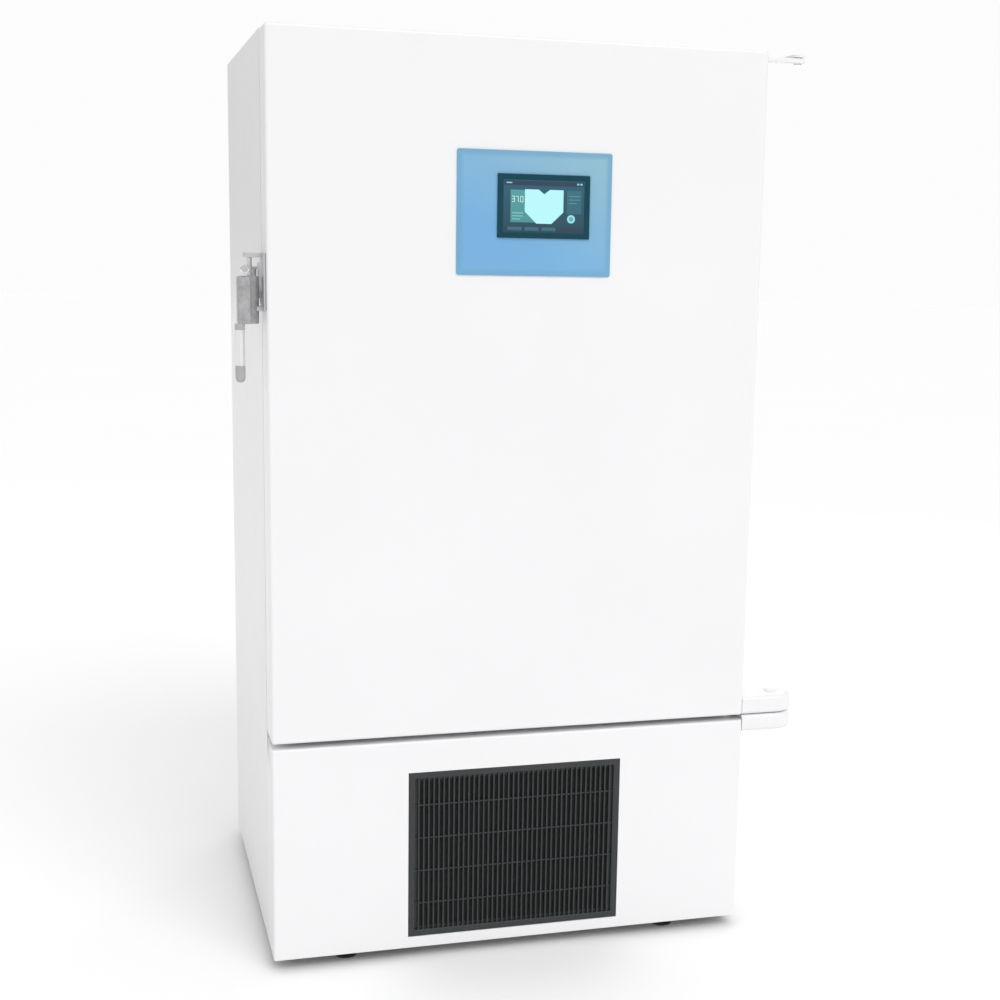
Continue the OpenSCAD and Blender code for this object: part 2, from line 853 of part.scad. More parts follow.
module grille() {
    w = grille_w / 2;
    z0 = grille_z - grille_h / 2;
    z1 = grille_z + grille_h / 2;
    border = 14;
    bars = floor((grille_w - 2 * border) / bar_pitch);
    span = bars * bar_pitch;
    color("darkslategray") {
        ring(w, z0, z1, w - border, z0 + border, z1 - border, front_y, front_y + grille_t);
        for (i = [0 : bars - 1])
            block([-span / 2 + bar_pitch * (i + 0.5) - 2, front_y + 1, z0 + border - 1],
                [-span / 2 + bar_pitch * (i + 0.5) + 2, front_y + 8, z1 - border + 1]);
        for (k = [1 : 4])
            block([-w + border - 1, front_y + 3, z0 + k * grille_h / 5 - 1.5],
                [w - border + 1, front_y + 7, z0 + k * grille_h / 5 + 1.5]);
    }
}

module grille_filter() {
    w = grille_w / 2 - 15;
    h = grille_h / 2 - 15;
    color("black") block([-w, front_y + 8, grille_z - h], [w, front_y + 14, grille_z + h]);
}

placed() left_side_panel();
placed() right_side_panel();
placed() top_panel();
placed() back_panel();
placed() machine_cover();
placed() plinth_shell();
placed() base_frame();
placed() insulation();
placed() front_frame();
placed() chamber_liner();
placed() shelf_uprights();
placed() shelf(1);  // shelf_1
placed() shelf(2);  // shelf_2
placed() shelf(3);  // shelf_3
placed() air_duct();
placed() evaporator();
placed() heater_element();
placed() circulation_motor();
placed() circulation_fan();
placed() temp_probe();
placed() chamber_lamp();
placed() access_port();
placed() access_plug();
placed() hinge_brackets();
placed() latch_keeper();
placed() compressor();
placed() condenser();
placed() fan_shroud();
placed() condenser_motor();
placed() condenser_fan();
placed() refrigerant_lines();
placed() control_box();
placed() power_inlet();
placed() power_switch();
placed() rear_caster_forks();
placed() caster_fork_left();
placed() caster_fork_right();
placed() caster_wheel_front_left();
placed() caster_wheel_front_right();
placed() caster_wheel_rear_left();
placed() caster_wheel_rear_right();
placed() levelling_foot_left();
placed() levelling_foot_right();
placed() grille();
placed() grille_filter();
placed() door_skin();
placed() door_foam();
placed() door_liner();
placed() door_gasket();
placed() door_hinge_arms();
placed() control_panel();
placed() screen_bezel();
placed() touch_screen();
placed() latch_base();
placed() latch_lever();
placed() latch_grip();
placed() key_lock();
placed() inner_door_frame();
placed() inner_door_glass();
placed() inner_door_knob();
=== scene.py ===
"""Looks of a refrigerated laboratory incubator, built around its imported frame."""

import json
import math

import bmesh
import bpy
from mathutils import Matrix, Quaternion, Vector


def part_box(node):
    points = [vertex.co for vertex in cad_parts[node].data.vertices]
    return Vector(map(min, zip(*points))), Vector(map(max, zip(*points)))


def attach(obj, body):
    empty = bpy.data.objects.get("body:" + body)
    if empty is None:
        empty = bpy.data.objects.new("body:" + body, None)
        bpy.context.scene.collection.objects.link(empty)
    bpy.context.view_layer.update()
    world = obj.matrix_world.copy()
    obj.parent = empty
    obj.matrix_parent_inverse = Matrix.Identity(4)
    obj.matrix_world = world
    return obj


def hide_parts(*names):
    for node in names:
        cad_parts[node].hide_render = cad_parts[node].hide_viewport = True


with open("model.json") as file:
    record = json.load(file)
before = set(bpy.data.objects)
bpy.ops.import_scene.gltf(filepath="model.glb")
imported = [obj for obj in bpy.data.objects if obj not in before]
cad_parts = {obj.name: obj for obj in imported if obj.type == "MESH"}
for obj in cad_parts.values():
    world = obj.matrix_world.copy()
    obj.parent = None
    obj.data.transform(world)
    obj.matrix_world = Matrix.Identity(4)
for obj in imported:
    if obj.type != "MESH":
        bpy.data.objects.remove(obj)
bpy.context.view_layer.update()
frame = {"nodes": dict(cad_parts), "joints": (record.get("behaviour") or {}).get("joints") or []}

MM = 0.001
NODES = frame["nodes"]
JOINTS = {joint["name"]: joint for joint in frame["joints"]}


def pivot(name):
    """A point on a hinge's axis, at rest."""
    return Vector(JOINTS[name]["pos_m"])


def centre_of(node):
    low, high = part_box(node)
    return (low + high) / 2


# ---- Camera, lights and floor ----

# Places are measured from the middle of the door's width
CAMERA_PLACE = Vector((-0.864, -3.731, 1.542))
CAMERA_TARGET = Vector((0.232, -0.070, 0.869))
CAMERA_ROLL = math.radians(1.26)
CAMERA_LENS = 58.75
CAMERA_SHIFT = (-0.076, 0.031)
# Brightness of the sky where the camera sees it, and as a light at the horizon and overhead
SKY_SEEN = 0.975
SKY_LOW = 0.59
SKY_HIGH = 0.96
SUN_POWER = 0.95
SUN_WAY = (0.2, -0.68, 0.72)


def set_camera():
    camera = bpy.data.cameras.new("camera")
    camera.sensor_width = 36.0
    camera.lens = CAMERA_LENS
    camera.shift_x, camera.shift_y = CAMERA_SHIFT
    holder = bpy.data.objects.new("camera", camera)
    bpy.context.scene.collection.objects.link(holder)
    aim = (CAMERA_TARGET - CAMERA_PLACE).to_track_quat("-Z", "Y")
    holder.rotation_mode = "QUATERNION"
    holder.rotation_quaternion = aim @ Quaternion((0, 0, 1), CAMERA_ROLL)
    holder.location = CAMERA_PLACE + Vector((centre_of("door_skin").x, 0, 0))
    bpy.context.scene.camera = holder


def softbox(name, place, target, width, height, power):
    light = bpy.data.lights.new(name, "AREA")
    light.shape = "RECTANGLE"
    light.size = width
    light.size_y = height
    light.energy = power
    holder = bpy.data.objects.new(name, light)
    bpy.context.scene.collection.objects.link(holder)
    place, target = Vector(place), Vector(target)
    holder.location = place
    holder.rotation_mode = "QUATERNION"
    holder.rotation_quaternion = (target - place).to_track_quat("-Z", "Y")


def set_lights():
    sun = bpy.data.lights.new("sun", "SUN")
    sun.energy = SUN_POWER
    sun.angle = math.radians(35)
    holder = bpy.data.objects.new("sun", sun)
    bpy.context.scene.collection.objects.link(holder)
    holder.rotation_mode = "QUATERNION"
    holder.rotation_quaternion = (-Vector(SUN_WAY)).to_track_quat("-Z", "Y")
    softbox("key", (3.4, -4.6, 2.8), (0, 0, 1.1), 1.6, 2.6, 10)
    softbox("left_strip", (-4.2, -1.6, 2.2), (0, 0, 1.0), 0.8, 2.6, 4)
    softbox("rear_strip", (2.6, 4.6, 2.4), (0, 0, 1.0), 1.2, 2.6, 16)
    world = bpy.data.worlds.new("studio")
    bpy.context.scene.world = world
    world.use_nodes = True
    tree = world.node_tree
    background = tree.nodes["Background"]
    background.inputs["Color"].default_value = (1.0, 1.0, 1.0, 1.0)
    way = tree.nodes.new("ShaderNodeTexCoord")
    parts = tree.nodes.new("ShaderNodeSeparateXYZ")
    rise = tree.nodes.new("ShaderNodeMapRange")
    rise.inputs["To Min"].default_value = SKY_LOW
    rise.inputs["To Max"].default_value = SKY_HIGH
    seen = tree.nodes.new("ShaderNodeLightPath")
    strength = tree.nodes.new("ShaderNodeMix")
    strength.inputs["B"].default_value = SKY_SEEN
    tree.links.new(way.outputs["Generated"], parts.inputs["Vector"])
    tree.links.new(parts.outputs["Z"], rise.inputs["Value"])
    tree.links.new(rise.outputs["Result"], strength.inputs["A"])
    tree.links.new(seen.outputs["Is Camera Ray"], strength.inputs["Factor"])
    tree.links.new(strength.outputs["Result"], background.inputs["Strength"])
    bpy.context.scene.view_settings.view_transform = "Standard"


# ---- Finishes ----


class Wire:
    """A shader value or colour, whose sums and products add their own Math nodes."""

    def __init__(self, finish, socket):
        self.finish = finish
        self.socket = socket

    def math(self, operation, *values):
        return self.finish.math(operation, *values)

    def __add__(self, other):
        return self.math("ADD", self, other)

    __radd__ = __add__

    def __sub__(self, other):
        return self.math("SUBTRACT", self, other)

    def __rsub__(self, other):
        return self.math("SUBTRACT", other, self)

    def __mul__(self, other):
        return self.math("MULTIPLY", self, other)

    __rmul__ = __mul__

    def __truediv__(self, other):
        return self.math("DIVIDE", self, other)

    def __abs__(self):
        return self.math("ABSOLUTE", self)

    def __lt__(self, other):
        return self.math("LESS_THAN", self, other)

    def __gt__(self, other):
        return self.math("GREATER_THAN", self, other)

    def root(self):
        return self.math("SQRT", self)


def rgba(colour):
    return (*colour, 1.0) if len(colour) == 3 else colour


class Finish:
    """One material with a Principled shader, whose nodes are added by the methods below."""

    def __init__(self, name, **constants):
        self.material = bpy.data.materials.new(name)
        self.material.use_nodes = True
        self.tree = self.material.node_tree
        self.shader = self.tree.nodes["Principled BSDF"]
        self.place = self.node("ShaderNodeTexCoord", out="Object")
        self.set(**constants)

    def feed(self, socket, value):
        if isinstance(value, Wire):
            self.tree.links.new(value.socket, socket)
        elif socket.type == "RGBA":
            socket.default_value = rgba(value)
        else:
            socket.default_value = value

    def set(self, **values):
        for name, value in values.items():
            self.feed(self.shader.inputs[name.replace("_", " ")], value)

    def node(self, kind, settings=None, inputs=None, out=0):
        made = self.tree.nodes.new(kind)
        for name, value in (settings or {}).items():
            setattr(made, name, value)
        for key, value in (inputs or {}).items():
            if isinstance(key, int):
                socket = made.inputs[key]
            else:
                socket = next(s for s in made.inputs if key in (s.identifier, s.name))
            self.feed(socket, value)
        return Wire(self, made.outputs[out])

    def math(self, operation, *values):
        return self.node("ShaderNodeMath", {"operation": operation}, dict(enumerate(values)))

    def mix(self, factor, low, high):
        made = self.tree.nodes.new("ShaderNodeMix")
        made.data_type = "RGBA"
        sockets = {s.identifier: s for s in made.inputs}
        self.feed(sockets["Factor_Float"], factor)
        self.feed(sockets["A_Color"], low)
        self.feed(sockets["B_Color"], high)
        return Wire(self, next(s for s in made.outputs if s.identifier == "Result_Color"))

    def axis(self, name):
        return self.node("ShaderNodeSeparateXYZ", None, {0: self.place}, name)

    def stretched(self, scale):
        return self.node("ShaderNodeMapping", None, {"Vector": self.place, "Scale": scale})

    def noise(self, scale, detail=2.0, roughness=0.5, place=None):
        return self.node(
            "ShaderNodeTexNoise",
            None,
            {
                "Vector": place or self.place,
                "Scale": scale,
                "Detail": detail,
                "Roughness": roughness,
            },
        )

    def cells(self, scale, feature="F1"):
        return self.node(
            "ShaderNodeTexVoronoi", {"feature": feature}, {"Vector": self.place, "Scale": scale}
        )

    def spread(self, value, low, high, start=0.3, end=0.7):
        return self.node(
            "ShaderNodeMapRange",
            None,
            {"Value": value, "From Min": start, "From Max": end, "To Min": low, "To Max": high},
        )

    def bump(self, height, distance):
        inputs = {"Height": height, "Distance": distance, "Strength": 1.0}
        self.set(Normal=self.node("ShaderNodeBump", None, inputs))


def shade(colour, factor):
    return tuple(min(1.0, part * factor) for part in colour)


def powder_coat(name, colour, roughness=0.34):
    """Baked paint: a fine orange peel over a faint, slow change of tone."""
    f = Finish(name, Metallic=0.0, Coat_Roughness=0.12, Coat_Weight=0.15)
    peel = f.noise(520.0, 2.0)
    drift = f.noise(2.2, 3.0)
    smudge = f.noise(14.0, 4.0, 0.6)
    f.set(
        Base_Color=f.mix(f.spread(drift, 0.0, 1.0), shade(colour, 0.985), shade(colour, 1.008)),
        Roughness=f.spread(smudge, roughness - 0.03, roughness + 0.05),
    )
    f.bump(peel, 0.00006)
    return f.material


def moulded(name, colour, roughness=0.45, grain=1400.0, depth=0.00004, gloss=0.5, wear=0.06):
    """Injection-moulded plastic with a spark-eroded grain."""
    f = Finish(name, Specular_IOR_Level=gloss)
    skin = f.noise(grain, 3.0, 0.6)
    handled = f.noise(22.0, 3.0)
    f.set(
        Base_Color=f.mix(handled, shade(colour, 1.0 - wear), shade(colour, 1.0 + wear)),
        Roughness=f.spread(handled, roughness - 0.05, roughness + 0.08),
    )
    f.bump(skin, depth)
    return f.material


def brushed(name, colour, lines, roughness=0.3):
    """Brushed metal; lines is the scale along each axis, small along the brushing."""
    f = Finish(name, Metallic=1.0)
    scratch = f.noise(1.0, 3.0, 0.65, f.stretched(lines))
    cloud = f.noise(5.0, 3.0)
    f.set(
        Base_Color=f.mix(scratch, shade(colour, 0.88), shade(colour, 1.1)),
        Roughness=f.spread(scratch, roughness - 0.07, roughness + 0.1) + 0.06 * cloud,
    )
    f.bump(scratch, 0.00003)
    return f.material


def cast_coat(name, colour, roughness=0.42):
    """Textured lacquer over a casting."""
    f = Finish(name)
    grit = f.cells(1500.0)
    worn = f.noise(60.0, 5.0, 0.65)
    f.set(
        Base_Color=f.mix(f.spread(worn, 0.0, 1.0, 0.35, 0.75), colour, shade(colour, 1.7)),
        Roughness=f.spread(worn, roughness - 0.08, roughness + 0.1),
    )
    f.bump(grit, 0.00008)
    return f.material


def polished(name, colour, roughness=0.1):
    f = Finish(name, Metallic=1.0)
    hairs = f.noise(1.0, 2.0, 0.5, f.stretched((900.0, 900.0, 60.0)))
    f.set(
        Base_Color=f.mix(hairs, shade(colour, 0.94), colour),
        Roughness=f.spread(hairs, roughness * 0.7, roughness * 1.8),
    )
    f.bump(hairs, 0.00001)
    return f.material


def rubber(name, colour, roughness=0.75):
    """Soft rubber with a dusty bloom."""
    f = Finish(name)
    bloom = f.noise(45.0, 4.0, 0.6)
    f.set(
        Base_Color=f.mix(f.spread(bloom, 0.0, 0.6), colour, shade(colour, 1.35)),
        Roughness=f.spread(bloom, roughness - 0.1, roughness + 0.08),
    )
    f.bump(f.noise(1800.0, 2.0), 0.00005)
    return f.material


def open_foam(name, colour):
    """Reticulated foam: open cells about 2 mm across, their middles darkened as painted shade in
    the pores.
    """
    f = Finish(name, Roughness=0.95)
    pores = f.cells(520.0, "DISTANCE_TO_EDGE")
    wall = f.spread(pores, 1.0, 0.0, 0.0, 0.25)
    # The cells' middles go down to a quarter of the colour: painted shade in the pores
    f.set(Base_Color=f.mix(wall, shade(colour, 0.25), colour))
    f.bump(wall, 0.0015)
    return f.material


def hard_foam(name, colour):
    f = Finish(name, Roughness=0.9)
    skin = f.noise(160.0, 5.0, 0.7)
    f.set(Base_Color=f.mix(skin, shade(colour, 0.85), shade(colour, 1.08)))
    f.bump(f.cells(700.0), 0.0004)
    return f.material


def drawn_copper(name):
    f = Finish(name, Metallic=1.0)
    tarnish = f.noise(38.0, 5.0, 0.7)
    f.set(
        Base_Color=f.mix(f.spread(tarnish, 0.0, 1.0), (0.78, 0.36, 0.2), (0.4, 0.18, 0.11)),
        Roughness=f.spread(tarnish, 0.22, 0.5),
    )
    f.bump(tarnish, 0.00008)
    return f.material


def fin_stock(name, colour):
    """Stamped aluminium fins, dusty in patches."""
    f = Finish(name, Metallic=0.9)
    dust = f.noise(30.0, 4.0, 0.6)
    f.set(
        Base_Color=f.mix(f.spread(dust, 0.0, 0.7), colour, shade(colour, 0.6)),
        Roughness=f.spread(dust, 0.35, 0.7),
    )
    f.bump(f.noise(1.0, 2.0, 0.5, f.stretched((200.0, 900.0, 40.0))), 0.0001)
    return f.material


def clear_glass(name, tint):
    f = Finish(name, Transmission_Weight=1.0, IOR=1.47)
    smear = f.noise(6.0, 4.0, 0.6)
    f.set(
        Base_Color=f.mix(smear, shade(tint, 0.985), tint),
        Roughness=f.spread(smear, 0.0, 0.03, 0.45, 0.75),
    )
    return f.material


def lamp_cover(name):
    f = Finish(name, Roughness=0.35, Emission_Strength=0.8)
    ribs = f.noise(1.0, 1.0, 0.5, f.stretched((500.0, 4.0, 4.0)))
    f.set(
        Base_Color=f.mix(ribs, (0.86, 0.87, 0.84), (0.95, 0.95, 0.93)),
        Emission_Color=f.mix(ribs, (0.9, 0.95, 1.0), (1.0, 1.0, 1.0)),
    )
    f.bump(ribs, 0.0003)
    return f.material


def figure_ink(name):
    """Lit figures of the readout."""
    f = Finish(name, Base_Color=(0.01, 0.01, 0.01), Roughness=0.3, Emission_Strength=1.0)
    glow = f.noise(900.0, 1.0)
    f.set(Emission_Color=f.mix(glow, (0.68, 0.93, 0.95), (0.8, 0.98, 1.0)))
    return f.material


# The darker band round the blue print: its width and how softly it ends
BAND_WIDTH = 0.011
BAND_BLUR = 0.004


def panel_film(name):
    """Printed polyester: a blue that pales towards the upper right corner."""
    low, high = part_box("control_panel")
    f = Finish(name, Coat_Roughness=0.2, Coat_Weight=0.3)
    across = (f.axis("X") - low.x) / (high.x - low.x)
    up = (f.axis("Z") - low.z) / (high.z - low.z)
    slope = 0.62 * up + 0.45 * across
    printed = f.mix(f.spread(slope, 0.0, 1.0, 0.35, 1.0), (0.15, 0.385, 0.66), (0.255, 0.46, 0.56))
    # A darker band follows the edge of the print
    middle = (low + high) / 2
    half = (high - low) / 2
    side = abs(f.axis("X") - middle.x) - (half.x - BAND_WIDTH)
    end = abs(f.axis("Z") - middle.z) - (half.z - BAND_WIDTH)
    band = f.spread(f.math("MAXIMUM", side, end), 0.0, 0.75, -BAND_BLUR, BAND_BLUR)
    printed = f.mix(band, printed, (0.14, 0.335, 0.52))
    cloud = f.noise(9.0, 3.0)
    f.set(
        Base_Color=f.mix(f.spread(cloud, 0.0, 0.12), printed, (0.2, 0.55, 0.82)),
        Roughness=f.spread(cloud, 0.34, 0.42),
    )
    f.bump(f.noise(2600.0, 2.0), 0.00002)
    return f.material


TILE_COLOURS = {
    "back": (0.008, 0.055, 0.085),
    "bar": (0.014, 0.045, 0.085),
    "side": (0.075, 0.33, 0.34),
    "dim": (0.03, 0.145, 0.2),
    "line": (0.3, 0.7, 0.72),
}
# Tiles of the screen's picture: colour, centre across, centre up, half width, half height
TILES = (
    ("bar", 0.0, 0.0465, 0.085, 0.0048),
    ("line", -0.074, 0.0465, 0.006, 0.0012),
    ("line", 0.072, 0.0465, 0.0022, 0.0018),
    ("line", 0.079, 0.0465, 0.0022, 0.0018),
    ("bar", 0.0, -0.0455, 0.085, 0.0058),
    ("dim", -0.062, -0.0455, 0.015, 0.0036),
    ("dim", -0.026, -0.0455, 0.015, 0.0036),
    ("dim", 0.01, -0.0455, 0.015, 0.0036),
    ("side", -0.0445, 0.0, 0.0265, 0.0325),
    ("line", -0.056, -0.014, 0.0115, 0.0007),
    ("line", -0.056, -0.02, 0.0115, 0.0007),
    ("line", -0.059, -0.026, 0.0085, 0.0007),
    ("dim", 0.064, 0.01, 0.0155, 0.0235),
    ("side", 0.064, 0.022, 0.0115, 0.0008),
    ("side", 0.064, 0.015, 0.0115, 0.0008),
    ("side", 0.061, 0.008, 0.0085, 0.0008),
)
# The shield in the screen's middle: colour, half width, top and bottom
SHIELD = (0.47, 0.92, 0.97)
SHIELD_HALF = 0.041
SHIELD_TOP = 0.034
SHIELD_BOTTOM = -0.0345
# The round button: centre across, centre up, radius
BUTTON = (0.058, -0.024, 0.0085)


def screen_picture(name):
    """A lit page of plain tiles, with a bright shield in the middle and one round button."""
    middle = centre_of("touch_screen")
    f = Finish(name, Roughness=0.12, Base_Color=(0.01, 0.012, 0.014), Emission_Strength=1.0)
    x = f.axis("X") - middle.x
    z = f.axis("Z") - middle.z
    picture = f.mix(
        f.spread(z, 0.0, 1.0, -0.05, 0.05), TILE_COLOURS["back"], shade(TILE_COLOURS["back"], 1.8)
    )
    for kind, across, up, half_width, half_height in TILES:
        inside = (abs(x - across) < half_width) * (abs(z - up) < half_height)
        colour = TILE_COLOURS[kind]
        fade = f.spread(z - up, 0.0, 1.0, -half_height, half_height)
        picture = f.mix(inside, picture, f.mix(fade, shade(colour, 0.85), colour))
    # The shield's top edge dips in the middle and its lower corners are cut away
    out = abs(x)
    dip = f.math("MAXIMUM", 0.009 - out * 0.75, 0.0)
    cut = f.math("MAXIMUM", (out - 0.016) * 0.95, 0.0)
    shield = (out < SHIELD_HALF) * (z + dip < SHIELD_TOP) * (z - cut > SHIELD_BOTTOM)
    picture = f.mix(shield, picture, SHIELD)
    across, up, radius = BUTTON
    far = ((x - across) * (x - across) + (z - up) * (z - up)).root()
    picture = f.mix(far < radius, picture, (0.3, 0.72, 0.76))
    picture = f.mix(far < radius * 0.5, picture, (0.09, 0.4, 0.43))
    f.set(Emission_Color=picture)
    return f.material


WHITE = powder_coat("white_powder_coat", (0.84, 0.84, 0.85))
# A darker copy of the white powder coat: painted shade for the cabinet's side, top and back sheets
SHADED_SIDE_WHITE = powder_coat("side_powder_coat_painted_shade", (0.8, 0.8, 0.81))
ABS_WHITE = moulded("white_abs", (0.82, 0.825, 0.83), 0.32, 1200.0, 0.000008, wear=0.012)
HINGE_WHITE = moulded("hinge_cover_plastic", (0.83, 0.83, 0.84), 0.38, wear=0.012)
STEEL_UPRIGHT = brushed("brushed_steel_upright", (0.66, 0.67, 0.68), (420.0, 420.0, 6.0))
STEEL_LEVEL = brushed("brushed_steel_level", (0.66, 0.67, 0.68), (6.0, 420.0, 420.0))
WIRE_STEEL = polished("electropolished_wire", (0.72, 0.73, 0.74), 0.16)
BOLT_STEEL = polished("zinc_bolt", (0.7, 0.71, 0.7), 0.22)
CHROME = polished("chrome", (0.85, 0.86, 0.87), 0.07)
GRIP = brushed("satin_grip", (0.86, 0.86, 0.87), (300.0, 300.0, 8.0), 0.36)
ZINC = brushed("zinc_plated_steel", (0.6, 0.61, 0.63), (90.0, 90.0, 30.0), 0.34)
LATCH = cast_coat("latch_lacquer", (0.29, 0.29, 0.295))
MOUNT = brushed("latch_mount_zinc", (0.62, 0.62, 0.635), (60.0, 60.0, 200.0), 0.38)
GRIP_CAP = moulded("grip_cap_plastic", (0.4, 0.4, 0.405), 0.4)
FRAME_PAINT = powder_coat("frame_paint", (0.09, 0.095, 0.1), 0.5)
COMPRESSOR = cast_coat("compressor_lacquer", (0.012, 0.012, 0.013), 0.3)
MOTOR = cast_coat("motor_lacquer", (0.03, 0.03, 0.032), 0.45)
FAN = moulded("fan_plastic", (0.02, 0.02, 0.022), 0.5)
GRILLE = moulded("grille_plastic", (0.022, 0.026, 0.027), 0.48, 900.0, 0.00006)
BEZEL = moulded("bezel_plastic", (0.003, 0.05, 0.075), 0.3, 2400.0, 0.00001, 0.2)
BLACK = moulded("black_plastic", (0.02, 0.02, 0.02), 0.5)
PORT = moulded("port_plastic", (0.6, 0.61, 0.62), 0.45)
SWITCH = moulded("switch_rocker", (0.35, 0.012, 0.01), 0.25)
SILICONE = rubber("silicone", (0.62, 0.62, 0.6), 0.55)
GASKET = rubber("gasket_rubber", (0.5, 0.505, 0.51), 0.6)
TREAD = rubber("wheel_rubber", (0.035, 0.035, 0.037), 0.7)
FILTER = open_foam("filter_foam", (0.035, 0.036, 0.038))
INSULATION = hard_foam("polyurethane_foam", (0.78, 0.68, 0.38))
COPPER = drawn_copper("copper_pipe")
FINS = fin_stock("aluminium_fins", (0.7, 0.71, 0.73))
HEATER = cast_coat("heater_sheath", (0.07, 0.06, 0.055), 0.4)
GLASS = clear_glass("tempered_glass", (0.9, 0.97, 0.95))
LAMP = lamp_cover("lamp_cover")
PANEL = panel_film("panel_film")
SCREEN = screen_picture("screen_picture")
FIGURE_INK = figure_ink("figure_ink")


# ---- Modelling ----


def added(bm, make):
    """Runs make() and gives the vertices that it added."""
    before = set(bm.verts)
    make()
    return [v for v in bm.verts if v not in before]


def edges_of(verts):
    return list({e for v in verts for e in v.link_edges})


def round_edges(bm, edges, radius, segments=3):
    bmesh.ops.bevel(
        bm,
        geom=list(edges),
        offset=radius,
        offset_type="OFFSET",
        segments=segments,
        profile=0.5,
        affect="EDGES",
        material=-1,
        clamp_overlap=True,
    )


def block(bm, low, high, radius=0.0, segments=3, pick=None):
    """A box between two corners; pick chooses which of its edges are rounded."""
    low, high = Vector(low), Vector(high)
    verts = bmesh.ops.create_cube(bm, size=1.0)["verts"]
    bmesh.ops.scale(bm, vec=high - low, verts=verts)
    bmesh.ops.translate(bm, vec=(low + high) / 2, verts=verts)
    if radius:
        chosen = [e for e in edges_of(verts) if pick is None or pick(e)]
        round_edges(bm, chosen, radius, segments)


def along(edge, axis):
    """True if an edge runs along an axis (0, 1 or 2)."""
    return abs((edge.verts[0].co - edge.verts[1].co).normalized()[axis]) > 0.99


def rod(bm, start, end, radius, steps=24, edge=0.0):
    """A cylinder between two points; edge is the radius of its rims."""
    start, end = Vector(start), Vector(end)
    axis = end - start
    turn = axis.to_track_quat("Z", "Y").to_matrix().to_4x4()
    verts = bmesh.ops.create_cone(
        bm,
        cap_ends=True,
        segments=steps,
        radius1=radius,
        radius2=radius,
        depth=axis.length,
        matrix=Matrix.Translation((start + end) / 2) @ turn,
    )["verts"]
    if edge:
        rims = [e for e in edges_of(verts) if any(len(f.verts) == steps for f in e.link_faces)]
        round_edges(bm, rims, edge, 2)


def turned(bm, profile, start, axis, steps=48):
    """A lathe shape: (radius, height) pairs turned about an axis through start."""
    before = set(bm.verts)
    verts = [bm.verts.new((radius, 0.0, height)) for radius, height in profile]
    edges = [bm.edges.new(pair) for pair in zip(verts, verts[1:])]
    bmesh.ops.spin(
        bm,
        geom=verts + edges,
        cent=(0, 0, 0),
        axis=(0, 0, 1),
        angle=2 * math.pi,
        steps=steps,
        use_merge=True,
    )
    made = [v for v in bm.verts if v not in before]
    bmesh.ops.remove_doubles(bm, verts=made, dist=1e-6)
    made = [v for v in bm.verts if v not in before]
    turn = Vector(axis).to_track_quat("Z", "Y").to_matrix().to_4x4()
    bmesh.ops.transform(bm, matrix=Matrix.Translation(start) @ turn, verts=made)


def ring_frame(bm, low, high, border, radius=0.0, segments=2):
    """A rectangular ring that faces Y, with its edges rounded."""
    low, high = Vector(low), Vector(high)
    middle, size = (low + high) / 2, high - low
    place = (
        Matrix.Translation((middle.x, low.y, middle.z))
        @ Matrix.Rotation(math.pi / 2, 4, "X")
        @ Matrix.Diagonal((size.x, size.z, 1.0, 1.0))
    )
    verts = bmesh.ops.create_grid(bm, x_segments=1, y_segments=1, size=0.5, matrix=place)["verts"]
    inner = verts[0].link_faces[0]
    sides = bmesh.ops.inset_region(
        bm, faces=[inner], thickness=border, use_boundary=True, use_even_offset=True
    )
    bmesh.ops.delete(bm, geom=[inner], context="FACES_ONLY")
    pushed = bmesh.ops.extrude_face_region(bm, geom=sides["faces"], use_keep_orig=True)["geom"]
    moved = [g for g in pushed if isinstance(g, bmesh.types.BMVert)]
    bmesh.ops.translate(bm, vec=(0, size.y, 0), verts=moved)
    if radius:
        whole = {v for f in sides["faces"] for v in f.verts} | set(moved)
        hard = [e for e in edges_of(whole) if e.calc_face_angle(0.0) > 1.0]
        round_edges(bm, hard, radius, segments)


def tongue(bm, centre, radius, root_x, low_z, high_z, edge):
    """A plate with a half-round end about a vertical axis and a square root at root_x."""
    turns = [math.pi * (step / 24 - 0.5) for step in range(25)]
    arc = [
        bm.verts.new((centre.x + radius * math.cos(t), centre.y + radius * math.sin(t), low_z))
        for t in turns
    ]
    root = [
        bm.verts.new((root_x, centre.y + radius, low_z)),
        bm.verts.new((root_x, centre.y - radius, low_z)),
    ]
    outline = arc + root
    floor = bm.faces.new(outline)
    pushed = bmesh.ops.extrude_face_region(bm, geom=[floor], use_keep_orig=True)["geom"]
    top = [g for g in pushed if isinstance(g, bmesh.types.BMVert)]
    bmesh.ops.translate(bm, vec=(0, 0, high_z - low_z), verts=top)
    rims = [
        e
        for e in edges_of(outline + top)
        if e.calc_face_angle(0.0) > 1.0 and any(v.co.x > root_x + 1e-5 for v in e.verts)
    ]
    round_edges(bm, rims, edge, 4)


def piece(name, bm, body, finish, stands_for=(), sharp=40.0, even=True):
    """Turns a bmesh into a piece that rides on a body."""
    bmesh.ops.recalc_face_normals(bm, faces=bm.faces)
    mesh = bpy.data.meshes.new(name)
    bm.to_mesh(mesh)
    bm.free()
    mesh.materials.append(finish)
    mesh.shade_smooth()
    mesh.set_sharp_from_angle(angle=math.radians(sharp))
    made = bpy.data.objects.new(name, mesh)
    bpy.context.scene.collection.objects.link(made)
    if even:
        normals = made.modifiers.new("normals", "WEIGHTED_NORMAL")
        normals.keep_sharp = True
    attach(made, body)
    if stands_for:
        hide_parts(*stands_for)
    return made


def paint(finish, *nodes):
    """Gives CAD nodes their finish."""
    for node in nodes:
        made = NODES[node]
        if not made.material_slots:
            made.data.materials.append(finish)
        for place in made.material_slots:
            place.material = finish


def screw_head(bm, place, axis, radius=4.0 * MM, height=2.2 * MM):
    """A pan head with a hexagon socket."""
    place, axis = Vector(place), Vector(axis)
    turned(
        bm,
        [
            (0.0, height * 0.45),
            (radius * 0.42, height * 0.45),
            (radius * 0.46, height * 0.95),
            (radius * 0.75, height * 0.9),
            (radius * 0.97, height * 0.45),
            (radius, 0.0),
        ],
        place,
        axis,
        steps=12,
    )


# ---- Outer door ----


